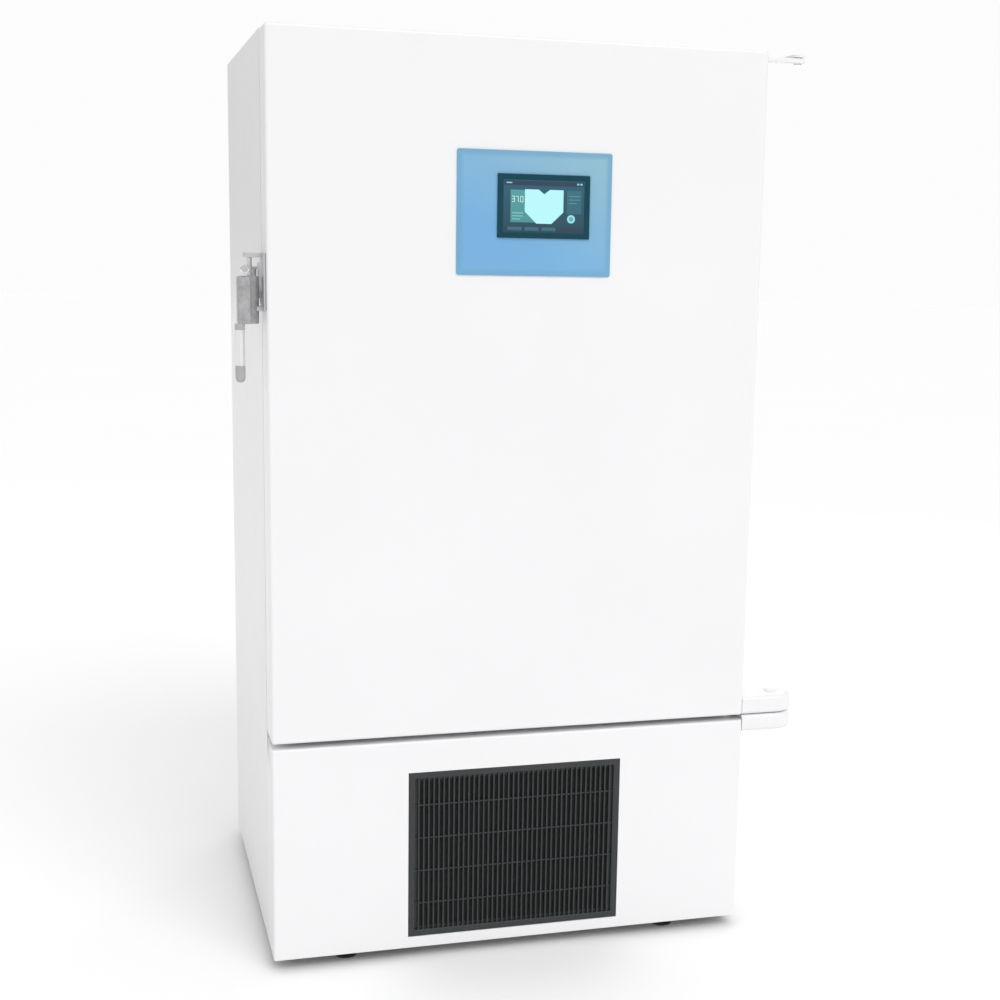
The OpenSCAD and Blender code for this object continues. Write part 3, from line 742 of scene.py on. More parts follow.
# The door sheet's rim at the back, and how deep the tray is
SHEET_EDGE = 2.4 * MM
SHELL_DEPTH = 60 * MM


def door_skin():
    """The folded sheet of the door, open at the back as a tray is."""
    low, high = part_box("door_skin")
    bm = bmesh.new()
    block(bm, low, high, 6 * MM, 4, lambda e: min(v.co.y for v in e.verts) < low.y + MM)
    back = max(bm.faces, key=lambda f: f.calc_center_median().y)
    bmesh.ops.inset_region(bm, faces=[back], thickness=SHEET_EDGE, use_even_offset=True)
    pushed = bmesh.ops.extrude_face_region(bm, geom=[back])["geom"]
    moved = [g for g in pushed if isinstance(g, bmesh.types.BMVert)]
    bmesh.ops.translate(bm, vec=(0, -SHELL_DEPTH, 0), verts=moved)
    bmesh.ops.delete(bm, geom=[back], context="FACES_ONLY")
    piece("door_shell", bm, "outer_door", WHITE, ["door_skin"])


# The door pan's raised plug: its distance inside the gasket's box, its rim and its dish
PLUG_SIDE = 91 * MM
PLUG_BOTTOM = 85 * MM
PLUG_TOP = 93 * MM
PLUG_RIM = 45 * MM
PLUG_DISH = 9 * MM


def door_inner_pan():
    """The moulded pan on the door's inner side, and the foam behind it."""
    low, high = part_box("door_liner")
    gasket_low, gasket_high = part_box("door_gasket")
    skin_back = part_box("door_skin")[1].y
    bm = bmesh.new()
    pan_low = (low.x + MM, skin_back - 2 * MM, low.z + MM)
    block(bm, pan_low, (high.x - MM, skin_back + 0.3 * MM, high.z - MM))
    plug_low = Vector((gasket_low.x + PLUG_SIDE, skin_back - MM, gasket_low.z + PLUG_BOTTOM))
    plug_high = Vector((gasket_high.x - PLUG_SIDE, high.y, gasket_high.z - PLUG_TOP))
    ring_frame(bm, plug_low, plug_high, PLUG_RIM, 6 * MM, 4)
    rim = Vector((PLUG_RIM - 5 * MM, 0, PLUG_RIM - 5 * MM))
    block(bm, plug_low + rim, plug_high - rim - Vector((0, PLUG_DISH, 0)))
    piece("door_pan", bm, "outer_door", ABS_WHITE, ["door_liner"])

    skin_low, skin_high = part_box("door_skin")
    bm = bmesh.new()
    inset = Vector((3 * MM, 3 * MM, 3 * MM))
    block(bm, skin_low + inset, skin_high - inset)
    piece("door_core", bm, "outer_door", INSULATION, ["door_foam"])


def door_seal():
    """Magnetic gasket: a flat foot, a bellows and a soft bead against the frame."""
    low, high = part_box("door_gasket")
    depth = high.y - low.y
    bm = bmesh.new()
    ring_frame(bm, low, (high.x, low.y + 0.35 * depth, high.z), 35 * MM, 0.6 * MM)
    inner_low = Vector((low.x + 6 * MM, low.y + 0.3 * depth, low.z + 6 * MM))
    inner_high = Vector((high.x - 6 * MM, high.y, high.z - 6 * MM))
    ring_frame(bm, inner_low, inner_high, 12 * MM, 1.6 * MM, 3)
    bead_low = Vector((low.x + 22 * MM, low.y + 0.3 * depth, low.z + 22 * MM))
    bead_high = Vector((high.x - 22 * MM, low.y + 0.75 * depth, high.z - 22 * MM))
    ring_frame(bm, bead_low, bead_high, 7 * MM, 0.9 * MM, 2)
    piece("door_seal", bm, "outer_door", GASKET, ["door_gasket"])


def control_panel():
    low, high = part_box("control_panel")
    bm = bmesh.new()
    block(bm, low, high, 5 * MM, 5, lambda e: along(e, 1))
    front = [e for e in bm.edges if all(v.co.y < low.y + 1e-5 for v in e.verts)]
    round_edges(bm, front, 0.9 * MM, 2)
    piece("panel_plate", bm, "outer_door", PANEL, ["control_panel"])


def screen_surround():
    low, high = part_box("screen_bezel")
    glass_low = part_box("touch_screen")[0]
    border = glass_low.x - low.x
    bm = bmesh.new()
    ring_frame(bm, (low.x, low.y, low.z), (high.x, high.y, high.z), border, 1.2 * MM, 3)
    back_low = (low.x + MM, high.y - 0.8 * MM, low.z + MM)
    block(bm, back_low, (high.x - MM, high.y, high.z - MM))
    piece("screen_surround", bm, "outer_door", BEZEL, ["screen_bezel"])


# Bars of a seven-segment figure: across, up, and whether the bar stands
FIGURE_BARS = {
    "top": (0.0, 1.0, False),
    "middle": (0.0, 0.0, False),
    "bottom": (0.0, -1.0, False),
    "upper_left": (-0.5, 0.5, True),
    "upper_right": (0.5, 0.5, True),
    "lower_left": (-0.5, -0.5, True),
    "lower_right": (0.5, -0.5, True),
}
FIGURES = {
    "3": ("top", "middle", "bottom", "upper_right", "lower_right"),
    "7": ("top", "upper_right", "lower_right"),
    "0": ("top", "bottom", "upper_left", "upper_right", "lower_left", "lower_right"),
}


READOUT_PLACE = Vector((-56.5 * MM, 0, 14 * MM))
FIGURE_WIDTH = 5.2 * MM
FIGURE_HALF = 5.5 * MM
FIGURE_STROKE = 0.55 * MM


def screen_figures():
    """A plain temperature readout, 37.0, standing just proud of the glass."""
    glass_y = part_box("touch_screen")[0].y
    middle = centre_of("touch_screen") + READOUT_PLACE
    front, back = glass_y - 0.12 * MM, glass_y + 0.1 * MM
    bm = bmesh.new()

    def bar(x, z, half_width, half_height):
        block(
            bm,
            (x - half_width, front, z - half_height),
            (x + half_width, back, z + half_height),
        )

    for figure, across in (("3", -9 * MM), ("7", -1 * MM), ("0", 9 * MM)):
        for name in FIGURES[figure]:
            side, up, stands = FIGURE_BARS[name]
            x = middle.x + across + side * FIGURE_WIDTH
            z = middle.z + up * FIGURE_HALF
            if stands:
                bar(x, z, FIGURE_STROKE, FIGURE_HALF / 2 - 0.2 * MM)
            else:
                bar(x, z, FIGURE_WIDTH / 2, FIGURE_STROKE)
    bar(middle.x + 3.6 * MM, middle.z - FIGURE_HALF, FIGURE_STROKE, FIGURE_STROKE)
    piece("readout", bm, "outer_door", FIGURE_INK, even=False)


# How thick the lower arm, the upper arm and the upper plate are; the upper arm's end radius
ARM_HEIGHT = 40 * MM
UPPER_ARM = 10 * MM
UPPER_PLATE = 6 * MM
UPPER_RADIUS = 15 * MM
# The upper bracket's leg runs back from the pivot, then across to a foot on the cabinet's side
LEG_FRONT = 72 * MM
LEG_BACK = 92 * MM
FOOT_BACK = 150 * MM
FOOT_DROP = 60 * MM
FOOT_SHEET = 6 * MM


def hinge_arms():
    """Both hinges: the door's two arms, the lower cover, the pins and the upper bracket."""
    centre = pivot("outer_door_hinge")
    low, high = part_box("door_hinge_arms")
    bracket_low, bracket_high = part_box("hinge_brackets")
    radius = high.x - centre.x
    arm_top = low.z + ARM_HEIGHT
    root_x = low.x
    bm = bmesh.new()
    tongue(bm, centre, radius, root_x, low.z, arm_top, 8 * MM)
    turned(
        bm,
        [(0.0, 3.2 * MM), (9 * MM, 3.0 * MM), (14 * MM, 2.0 * MM), (16 * MM, 0.0), (16 * MM, -MM)],
        (centre.x, centre.y, arm_top),
        (0, 0, 1),
    )
    tongue(bm, centre, UPPER_RADIUS, root_x, high.z - UPPER_ARM, high.z, 2 * MM)
    piece("hinge_arm", bm, "outer_door", HINGE_WHITE, ["door_hinge_arms"])

    bm = bmesh.new()
    lower_top = low.z - 2 * MM
    tongue(bm, centre, radius, bracket_low.x + MM, bracket_low.z, lower_top, 8 * MM)
    piece("lower_hinge_cover", bm, "cabinet", HINGE_WHITE, ["hinge_brackets"])

    bm = bmesh.new()
    top_low = bracket_high.z - UPPER_PLATE
    rod(bm, (centre.x, centre.y, low.z - 4 * MM), (centre.x, centre.y, low.z + 25 * MM), 8 * MM)
    pin_end = top_low - UPPER_ARM - 5 * MM
    rod(bm, (centre.x, centre.y, pin_end), (centre.x, centre.y, top_low + MM), 7.9 * MM, 32, MM)
    piece("hinge_pins", bm, "cabinet", BOLT_STEEL)

    bm = bmesh.new()
    rod(
        bm,
        (centre.x, centre.y, top_low),
        (centre.x, centre.y, bracket_high.z),
        UPPER_RADIUS,
        40,
        1.2 * MM,
    )
    block(
        bm,
        (centre.x - UPPER_RADIUS + 0.4 * MM, centre.y, top_low + 0.2 * MM),
        (centre.x + UPPER_RADIUS - 0.4 * MM, centre.y + LEG_BACK, bracket_high.z - 0.2 * MM),
        1.2 * MM,
    )
    block(
        bm,
        (root_x, centre.y + LEG_FRONT, top_low + 0.4 * MM),
        (centre.x, centre.y + LEG_BACK - 0.5 * MM, bracket_high.z - 0.4 * MM),
        1.2 * MM,
    )
    block(
        bm,
        (root_x, centre.y + LEG_FRONT, top_low - FOOT_DROP),
        (root_x + FOOT_SHEET, centre.y + FOOT_BACK, bracket_high.z - 0.6 * MM),
        1.5 * MM,
    )
    piece("upper_hinge_plate", bm, "cabinet", WHITE)

    bm = bmesh.new()
    for y in (108, 134):
        for z in (-46, -18):
            place = (root_x + FOOT_SHEET, centre.y + y * MM, top_low + z * MM)
            screw_head(bm, place, (1, 0, 0), 5 * MM, 3 * MM)
    piece("upper_hinge_screws", bm, "cabinet", BOLT_STEEL)


# ---- Latch ----


def latch():
    """The latch on the door, with its mount, pin, grip and lock, and the cabinet's keeper."""
    turn = pivot("latch_turn")
    base_low, base_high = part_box("latch_base")
    lever_low, lever_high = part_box("latch_lever")
    grip_low, grip_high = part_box("latch_grip")
    keep_low, keep_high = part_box("latch_keeper")
    body_low, body_high = grip_high.z - 95 * MM, grip_high.z

    bm = bmesh.new()
    block(bm, (base_high.x - 5 * MM, base_low.y, base_low.z), base_high, 2 * MM)
    for z in (base_low.z, base_high.z - 9 * MM):
        rod(bm, (turn.x, turn.y, z), (turn.x, turn.y, z + 9 * MM), 13 * MM, 32, 1.2 * MM)
        block(
            bm,
            (turn.x, turn.y - 13 * MM, z),
            (base_high.x - 4 * MM, turn.y + 13 * MM, z + 9 * MM),
            1.2 * MM,
            2,
            lambda e: along(e, 0),
        )
    piece("latch_mount", bm, "outer_door", MOUNT, ["latch_base"])

    bm = bmesh.new()
    rod(bm, (turn.x, turn.y, body_low), (turn.x, turn.y, body_high), 18 * MM, 40, 2 * MM)
    block(
        bm,
        (grip_low.x + 6 * MM, turn.y - 28 * MM, body_low),
        (turn.x, turn.y + 6 * MM, body_high),
        4 * MM,
        4,
    )
    block(
        bm,
        (turn.x - 10 * MM, turn.y, body_low + 35 * MM),
        (turn.x + 2 * MM, lever_high.y, body_low + 62 * MM),
        2 * MM,
    )
    block(
        bm,
        (turn.x - 2 * MM, lever_high.y - 14 * MM, body_low + 35 * MM),
        (turn.x + 5 * MM, lever_high.y, body_low + 62 * MM),
        1.5 * MM,
    )
    piece("latch_body", bm, "latch", LATCH, ["latch_lever"])

    bm = bmesh.new()
    for z, way in ((lever_low.z, -1), (lever_high.z, 1)):
        screw_head(bm, (turn.x, turn.y, z - way * MM), (0, 0, way), 5 * MM, 1.0 * MM)
    rod(bm, (turn.x, turn.y, lever_low.z + MM), (turn.x, turn.y, lever_high.z - MM), 4.9 * MM)
    piece("latch_pin", bm, "latch", BOLT_STEEL)

    centre = (grip_low + grip_high) / 2
    radius = (grip_high.x - grip_low.x) / 2
    cap = 34 * MM
    bm = bmesh.new()
    rod(
        bm,
        (centre.x, centre.y, grip_low.z + cap),
        (centre.x, centre.y, body_low + MM),
        radius - 0.4 * MM,
        40,
    )
    piece("grip_bar", bm, "latch", GRIP, ["latch_grip"])
    bm = bmesh.new()
    turned(
        bm,
        [
            (0.0, 0.0),
            (radius * 0.5, 0.8 * MM),
            (radius * 0.85, 4 * MM),
            (radius, 10 * MM),
            (radius, cap - 1.5 * MM),
            (radius - 0.8 * MM, cap),
            (0.0, cap),
        ],
        (centre.x, centre.y, grip_low.z),
        (0, 0, 1),
    )
    turned(
        bm,
        [
            (0.0, 0.0),
            (radius - 0.6 * MM, 0.0),
            (radius, MM),
            (radius, 12 * MM),
            (radius - 0.6 * MM, 13 * MM),
            (0.0, 13 * MM),
        ],
        (centre.x, centre.y, body_low - 12 * MM),
        (0, 0, 1),
    )
    piece("grip_caps", bm, "latch", GRIP_CAP)

    lock = pivot("key_turn")
    bm = bmesh.new()
    turned(
        bm,
        [(7.1 * MM, 2 * MM), (7.1 * MM, -0.6 * MM), (8.6 * MM, -0.3 * MM), (9.4 * MM, 1.6 * MM)],
        (lock.x, lock.y + MM, lock.z),
        (0, 1, 0),
        32,
    )
    piece("lock_escutcheon", bm, "latch", CHROME)
    paint(CHROME, "key_lock")

    bm = bmesh.new()
    block(bm, (keep_high.x - 4 * MM, keep_low.y, keep_low.z), keep_high, 1.5 * MM)
    middle_y = (keep_low.y + keep_high.y) / 2
    for z in (keep_low.z + 8 * MM, keep_high.z - 14 * MM):
        block(
            bm,
            (keep_low.x, middle_y - 8 * MM, z),
            (keep_high.x - 3 * MM, middle_y + 8 * MM, z + 6 * MM),
            1.2 * MM,
        )
    piece("keeper_plate", bm, "cabinet", MOUNT, ["latch_keeper"])
    bm = bmesh.new()
    roller = (keep_high.x - 14 * MM, middle_y)
    rod(
        bm,
        (*roller, keep_low.z + 14.5 * MM),
        (*roller, keep_high.z - 14.5 * MM),
        7 * MM,
        32,
        0.8 * MM,
    )
    for z in (keep_low.z + 12 * MM, keep_high.z - 12 * MM):
        for y in (middle_y - 16 * MM, middle_y + 16 * MM):
            screw_head(bm, (keep_high.x - 4 * MM, y, z), (-1, 0, 0))
    piece("keeper_roller", bm, "cabinet", BOLT_STEEL)


# ---- Cabinet ----


def plinth():
    """The folded front of the machine compartment with the grille's hole, and its deck."""
    low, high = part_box("plinth_shell")
    frame_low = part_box("front_frame")[0]
    grille_low, grille_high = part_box("grille")
    face_y = frame_low.y
    gap = 0.8 * MM

    def on_front_rim(edge):
        """True for the front's upright edges and its upper one."""
        in_front = max(v.co.y for v in edge.verts) < low.y + MM
        above_floor = min(v.co.z for v in edge.verts) > low.z - MM
        return in_front and above_floor and (along(edge, 2) or edge.verts[0].co.z > high.z - MM)

    bm = bmesh.new()
    block(
        bm,
        low,
        (high.x, face_y, high.z),
        5 * MM,
        4,
        on_front_rim,
    )
    open_faces = [f for f in bm.faces if f.normal.y > 0.9 or f.normal.z < -0.9]
    bmesh.ops.delete(bm, geom=open_faces, context="FACES")
    cuts = (
        ((grille_low.x - gap, 0, 0), (1, 0, 0)),
        ((grille_high.x + gap, 0, 0), (1, 0, 0)),
        ((0, 0, grille_low.z - gap), (0, 0, 1)),
        ((0, 0, grille_high.z + gap), (0, 0, 1)),
    )
    for place, normal in cuts:
        everything = bm.verts[:] + bm.edges[:] + bm.faces[:]
        bmesh.ops.bisect_plane(bm, geom=everything, plane_co=place, plane_no=normal)
    middle = (grille_low + grille_high) / 2
    hole = min(
        (f for f in bm.faces if f.normal.y < -0.9),
        key=lambda f: (f.calc_center_median() - Vector((middle.x, low.y, middle.z))).length,
    )
    border = list(hole.edges)
    bmesh.ops.delete(bm, geom=[hole], context="FACES_ONLY")
    flange = bmesh.ops.extrude_edge_only(bm, edges=border)["geom"]
    moved = [g for g in flange if isinstance(g, bmesh.types.BMVert)]
    bmesh.ops.translate(bm, vec=(0, 16 * MM, 0), verts=moved)
    shell = piece("plinth_front", bm, "cabinet", WHITE, ["plinth_shell"])
    shell.modifiers.clear()
    wall = shell.modifiers.new("sheet", "SOLIDIFY")
    wall.thickness = 1.4 * MM
    wall.offset = -1.0
    normals = shell.modifiers.new("normals", "WEIGHTED_NORMAL")
    normals.keep_sharp = True

    bm = bmesh.new()
    block(
        bm,
        (low.x + 1.5 * MM, face_y, high.z - 1.5 * MM),
        (high.x - 1.5 * MM, high.y, high.z),
    )
    piece("machine_deck", bm, "cabinet", WHITE)


def air_grille():
    low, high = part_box("grille")
    border = 14 * MM
    pitch = 11 * MM
    bm = bmesh.new()
    ring_frame(bm, low, high, border, 2.2 * MM, 3)
    inner_width = high.x - low.x - 2 * border
    bars = int(inner_width / pitch)
    start = (low.x + high.x) / 2 - bars * pitch / 2
    for i in range(bars):
        x = start + (i + 0.5) * pitch
        block(
            bm,
            (x - 2 * MM, low.y + MM, low.z + border - MM),
            (x + 2 * MM, low.y + 7.5 * MM, high.z - border + MM),
            1.2 * MM,
            2,
            lambda e: along(e, 2) and e.verts[0].co.y < low.y + 2 * MM,
        )
    rows = 5
    for k in range(1, rows):
        z = low.z + k * (high.z - low.z) / rows
        block(
            bm,
            (low.x + border - MM, low.y + 3 * MM, z - 1.5 * MM),
            (high.x - border + MM, low.y + 7 * MM, z + 1.5 * MM),
        )
    lip_low = (low.x + 3 * MM, low.y + 7.2 * MM, low.z + 3 * MM)
    ring_frame(bm, lip_low, (high.x - 3 * MM, low.y + 7.9 * MM, high.z - 3 * MM), 17 * MM)
    piece("grille_louvre", bm, "grille", GRILLE, ["grille"])
    paint(FILTER, "grille_filter")


def rear_louvres():
    """Pressed hoods over the rear slots, and the screws of the two rear sheets."""
    low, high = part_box("machine_cover")
    back_low, back_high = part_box("back_panel")
    middle_x = (low.x + high.x) / 2
    bm = bmesh.new()
    for column in (0, 210):
        for k in range(10):
            x = middle_x + (60 + column) * MM
            z = (150 + 28 * k) * MM
            block(
                bm,
                (x - 2 * MM, high.y - 1.2 * MM, z + 8 * MM),
                (x + 152 * MM, high.y, z + 12 * MM),
                0.5 * MM,
                2,
            )
    # The lips take the darker copy of the white coat, as painted shade
    piece("louvre_lips", bm, "cabinet", SHADED_SIDE_WHITE)
    bm = bmesh.new()
    sides = (low.x + 14 * MM, high.x - 14 * MM)
    inner = (middle_x - 250 * MM, middle_x, middle_x + 250 * MM)
    rows = (low.z + 12 * MM, high.z - 12 * MM, back_low.z + 14 * MM, back_high.z - 16 * MM)
    places = [(x, z) for x in (sides[0], *inner, sides[1]) for z in rows]
    step = (back_high.z - back_low.z) / 5
    places += [(x, back_low.z + k * step) for x in sides for k in range(1, 5)]
    for x, z in places:
        screw_head(bm, (x, high.y - 0.9 * MM, z), (0, 1, 0), 4.5 * MM, 0.9 * MM)
    piece("rear_screws", bm, "cabinet", BOLT_STEEL)


# ---- Chamber ----


def wire_shelf(node):
    """A shelf of round wires on two rails, with a raised rear lip."""
    low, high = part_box(node)
    rail_z = low.z + 3 * MM
    bm = bmesh.new()
    for y in (low.y + 3 * MM, (low.y + high.y) / 2, high.y - 3 * MM):
        rod(bm, (low.x, y, rail_z), (high.x, y, rail_z), 3 * MM, 12)
    for x in (low.x + 3 * MM, high.x - 3 * MM):
        rod(bm, (x, low.y, rail_z), (x, high.y, rail_z), 3 * MM, 12)
    bars = 30
    pitch = (high.x - low.x - 14 * MM) / (bars - 1)
    bar_z = low.z + 7.8 * MM
    lip_y, lip_z = high.y - 2.5 * MM, high.z - 2 * MM
    for i in range(bars):
        x = low.x + 7 * MM + pitch * i
        rod(bm, (x, low.y + MM, bar_z), (x, high.y - MM, bar_z), 2 * MM, 10)
        if i % 3 == 0:
            rod(bm, (x, lip_y, low.z + 7 * MM), (x, lip_y, high.z - MM), 1.6 * MM, 8)
    rod(bm, (low.x, lip_y, lip_z), (high.x, lip_y, lip_z), 2 * MM, 10)
    piece(node + "_wires", bm, "cabinet", WIRE_STEEL, [node])


def fan_guard():
    """Ring guard of wires over the duct's fan opening."""
    hub = pivot("circulation_fan_spin")
    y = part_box("air_duct")[0].y - 3 * MM
    wire = 1.2 * MM
    turns = [k * math.pi / 3 for k in range(6)]
    bm = bmesh.new()
    for radius in (20, 36, 52, 68, 84):
        ring_x = hub.x + radius * MM
        loop = [
            bm.verts.new((ring_x + wire * math.cos(t), y + wire * math.sin(t), hub.z))
            for t in turns
        ]
        loop_edges = [bm.edges.new((loop[k], loop[(k + 1) % 6])) for k in range(6)]
        bmesh.ops.spin(
            bm,
            geom=loop + loop_edges,
            cent=(hub.x, y, hub.z),
            axis=(0, 1, 0),
            angle=2 * math.pi,
            steps=40,
            use_merge=True,
        )
    for k in range(4):
        turn = k * math.pi / 4 + 0.2
        reach = Vector((math.cos(turn), 0, math.sin(turn))) * 90 * MM
        centre = Vector((hub.x, y + 1.5 * MM, hub.z))
        rod(bm, centre - reach, centre + reach, 1.5 * MM, 8)
    piece("fan_guard", bm, "cabinet", WIRE_STEEL)


def fan(name, node, body, joint, radius, hub, blades, chord, pitch, finish):
    """An axial fan; chord is a blade's width over the radius, pitch its lean in radians."""
    low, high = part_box(node)
    centre = pivot(joint)
    depth = high.y - low.y
    middle_y = (low.y + high.y) / 2
    bm = bmesh.new()
    turned(
        bm,
        [
            (0.0, 0.0),
            (hub * 0.7, 0.0),
            (hub * 0.95, 0.12 * depth),
            (hub, 0.3 * depth),
            (hub, depth),
            (0.0, depth),
        ],
        (centre.x, low.y, centre.z),
        (0, 1, 0),
        40,
    )
    upright = Matrix.Rotation(math.pi / 2, 4, "X")
    for k in range(blades):
        blade = added(bm, lambda: bmesh.ops.create_grid(bm, x_segments=8, y_segments=6, size=0.5))
        for v in blade:
            out = v.co.x + 0.5
            wide = v.co.y
            spread = chord * (0.75 + 0.45 * out) * radius
            lean = pitch * (1.25 - 0.5 * out)
            side = wide * spread * math.cos(lean) + 0.12 * out * out * radius
            rise = wide * spread * math.sin(lean) + 0.1 * spread * (1 - (2 * wide) ** 2)
            reach = hub * 0.95 + out * (radius * 0.96 - hub * 0.95)
            squeeze = math.sqrt(max(0.0, 1 - (side / radius) ** 2))
            v.co = Vector((reach * squeeze, side, max(-0.42, min(0.42, rise / depth)) * depth))
        around = Matrix.Rotation(2 * math.pi * k / blades, 4, "Y")
        place = Matrix.Translation((centre.x, middle_y, centre.z)) @ around @ upright
        faces = list({f for v in blade for f in v.link_faces})
        bmesh.ops.transform(bm, matrix=place, verts=blade)
        bmesh.ops.solidify(bm, geom=faces, thickness=1.6 * MM)
    piece(name, bm, body, finish, [node], 50.0)


def inner_door():
    low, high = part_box("inner_door_frame")
    frame_low = Vector((low.x, low.y, low.z + 3 * MM))
    frame_high = Vector((high.x, high.y, high.z - 3 * MM))
    hinge = pivot("inner_door_hinge")
    knob = pivot("inner_knob_turn")
    bm = bmesh.new()
    ring_frame(bm, frame_low, frame_high, 34 * MM, 2.5 * MM, 3)
    for z0, z1 in ((low.z, low.z + 3.2 * MM), (high.z - 3.2 * MM, high.z)):
        rod(bm, (hinge.x, hinge.y, z0), (hinge.x, hinge.y, z1), 8 * MM)
    piece("glass_door_frame", bm, "inner_door", STEEL_UPRIGHT, ["inner_door_frame"])

    bm = bmesh.new()
    for y0, y1 in ((low.y + 4.5 * MM, low.y + 7.4 * MM), (high.y - 7.4 * MM, high.y - 4.5 * MM)):
        ring_frame(
            bm,
            (frame_low.x + 31 * MM, y0, frame_low.z + 31 * MM),
            (frame_high.x - 31 * MM, y1, frame_high.z - 31 * MM),
            6 * MM,
            1.0 * MM,
            2,
        )
    piece("glazing_seal", bm, "inner_door", TREAD)
    paint(GLASS, "inner_door_glass")

    knob_low, knob_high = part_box("inner_door_knob")
    bm = bmesh.new()
    turned(
        bm,
        [
            (0.0, 0.0),
            (9 * MM, 0.2 * MM),
            (12 * MM, 1.4 * MM),
            (13 * MM, 4 * MM),
            (12 * MM, 6.6 * MM),
            (9 * MM, 8.2 * MM),
            (0.0, 8.2 * MM),
        ],
        (knob.x, knob_low.y, knob.z),
        (0, 1, 0),
    )
    rod(bm, (knob.x, knob_low.y + 7 * MM, knob.z), (knob.x, knob_high.y - MM, knob.z), 4 * MM)
    block(
        bm,
        (knob.x - 6 * MM, knob_high.y - 4 * MM, knob_low.z),
        (knob.x + 6 * MM, knob_high.y, knob.z + 6 * MM),
        1.2 * MM,
    )
    piece("door_knob", bm, "inner_knob", BLACK, ["inner_door_knob"])


# ---- Machine compartment ----


def compressor():
    low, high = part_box("compressor")
    centre = (low + high) / 2
    radius = 78 * MM
    base = low.z + 12 * MM
    height = high.z - base
    bm = bmesh.new()
    turned(
        bm,
        [
            (0.0, 0.0),
            (radius * 0.75, 0.0),
            (radius * 0.93, 6 * MM),
            (radius - 2 * MM, 20 * MM),
            (radius - 2 * MM, height * 0.52),
            (radius + 1.5 * MM, height * 0.53),
            (radius + 1.5 * MM, height * 0.56),
            (radius - 2 * MM, height * 0.57),
            (radius - 3 * MM, height * 0.72),
            (radius * 0.88, height * 0.85),
            (radius * 0.62, height * 0.95),
            (radius * 0.3, height * 0.99),
            (0.0, height),
        ],
        (centre.x, centre.y, base),
        (0, 0, 1),
    )
    for turn in (0.0, math.pi / 2):
        way = Vector((math.cos(turn), math.sin(turn), 0))
        across = Vector((-way.y, way.x, 0)) * 16 * MM
        ends = [centre - way * 99 * MM - across, centre + way * 99 * MM + across]
        corner_low = Vector(map(min, *ends))
        corner_high = Vector(map(max, *ends))
        block(
            bm,
            (corner_low.x, corner_low.y, low.z + 10 * MM),
            (corner_high.x, corner_high.y, low.z + 15 * MM),
            1.5 * MM,
        )
    block(
        bm,
        (centre.x - 92 * MM, centre.y - 24 * MM, base + 60 * MM),
        (centre.x - 70 * MM, centre.y + 24 * MM, base + 115 * MM),
        3 * MM,
    )
    piece("compressor_shell", bm, "cabinet", COMPRESSOR, ["compressor"])
    bm = bmesh.new()
    for k in range(4):
        turn = k * math.pi / 2
        x, y = centre.x + 86 * MM * math.cos(turn), centre.y + 86 * MM * math.sin(turn)
        for z in (0, 4, 8):
            rod(bm, (x, y, low.z + z * MM), (x, y, low.z + (z + 3) * MM), 12 * MM, 24, 0.8 * MM)
        rod(bm, (x, y, low.z), (x, y, low.z + 11 * MM), 10 * MM, 24)
    piece("compressor_mounts", bm, "cabinet", TREAD)


# How far a caster's axle trails behind its swivel
AXLE_TRAIL = 20 * MM


def caster_fork(bm, x, y):
    """Pressed fork: swivel race, two cheeks and the axle's heads."""
    wheel_radius = 32 * MM
    half = 13 * MM
    axle_y = y + AXLE_TRAIL
    top = 83.4 * MM
    turned(
        bm,
        [
            (0.0, -5.4 * MM),
            (22 * MM, -5.4 * MM),
            (24 * MM, -3.8 * MM),
            (24 * MM, -1.4 * MM),
            (22.6 * MM, 0.0),
            (0.0, 0.0),
        ],
        (x, y, top),
        (0, 0, 1),
        36,
    )
    for side in (-1, 1):
        inner = x + side * half
        outer = x + side * (half + 3 * MM)
        low_x, high_x = min(inner, outer), max(inner, outer)
        ends = (low_x, axle_y, wheel_radius), (high_x, axle_y, wheel_radius)
        rod(bm, *ends, 11 * MM, 28, 0.6 * MM)
        block(
            bm,
            (low_x, y - 6 * MM, 57.5 * MM),
            (high_x, axle_y + 9 * MM, 79 * MM),
            0.8 * MM,
        )
        block(
            bm,
            (low_x, axle_y - 10.9 * MM, wheel_radius),
            (high_x, axle_y + 8.9 * MM, 79 * MM),
            0.8 * MM,
        )
    rod(bm, (x - half, axle_y, wheel_radius), (x + half, axle_y, wheel_radius), 4.9 * MM)


def caster_wheel(name, node, body, joint):
    low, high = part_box(node)
    hub = pivot(joint)
    width = high.x - low.x
    radius = (high.z - low.z) / 2
    tyre = [
        (5.1 * MM, 0.5 * MM),
        (11 * MM, 0.0),
        (13 * MM, 1.0 * MM),
        (15 * MM, 4.0 * MM),
        (22 * MM, 4.0 * MM),
        (23 * MM, 1.2 * MM),
        (26 * MM, 0.4 * MM),
        (radius - 2 * MM, 1.6 * MM),
        (radius - 0.4 * MM, 4.2 * MM),
        (radius, 8 * MM),
    ]
    profile = tyre + [(r, width - h) for r, h in reversed(tyre)] + [tyre[0]]
    bm = bmesh.new()
    turned(bm, profile, (low.x, hub.y, hub.z), (1, 0, 0), 56)
    piece(name, bm, body, TREAD, [node], 50.0)


def casters():
    for side in ("left", "right"):
        swivel = pivot(f"caster_{side}_swivel")
        bm = bmesh.new()
        caster_fork(bm, swivel.x, swivel.y)
        piece(
            f"swivel_fork_{side}",
            bm,
            f"caster_front_{side}",
            ZINC,
            [f"caster_fork_{side}"],
        )
    bm = bmesh.new()
    for side in ("left", "right"):
        axle = pivot(f"wheel_rear_{side}_spin")
        caster_fork(bm, axle.x, axle.y - AXLE_TRAIL)
    piece("rear_forks", bm, "cabinet", ZINC, ["rear_caster_forks"])
    for end in ("front", "rear"):
        for side in ("left", "right"):
            caster_wheel(
                f"wheel_{end}_{side}",
                f"caster_wheel_{end}_{side}",
                f"wheel_{end}_{side}",
                f"wheel_{end}_{side}_spin",
            )


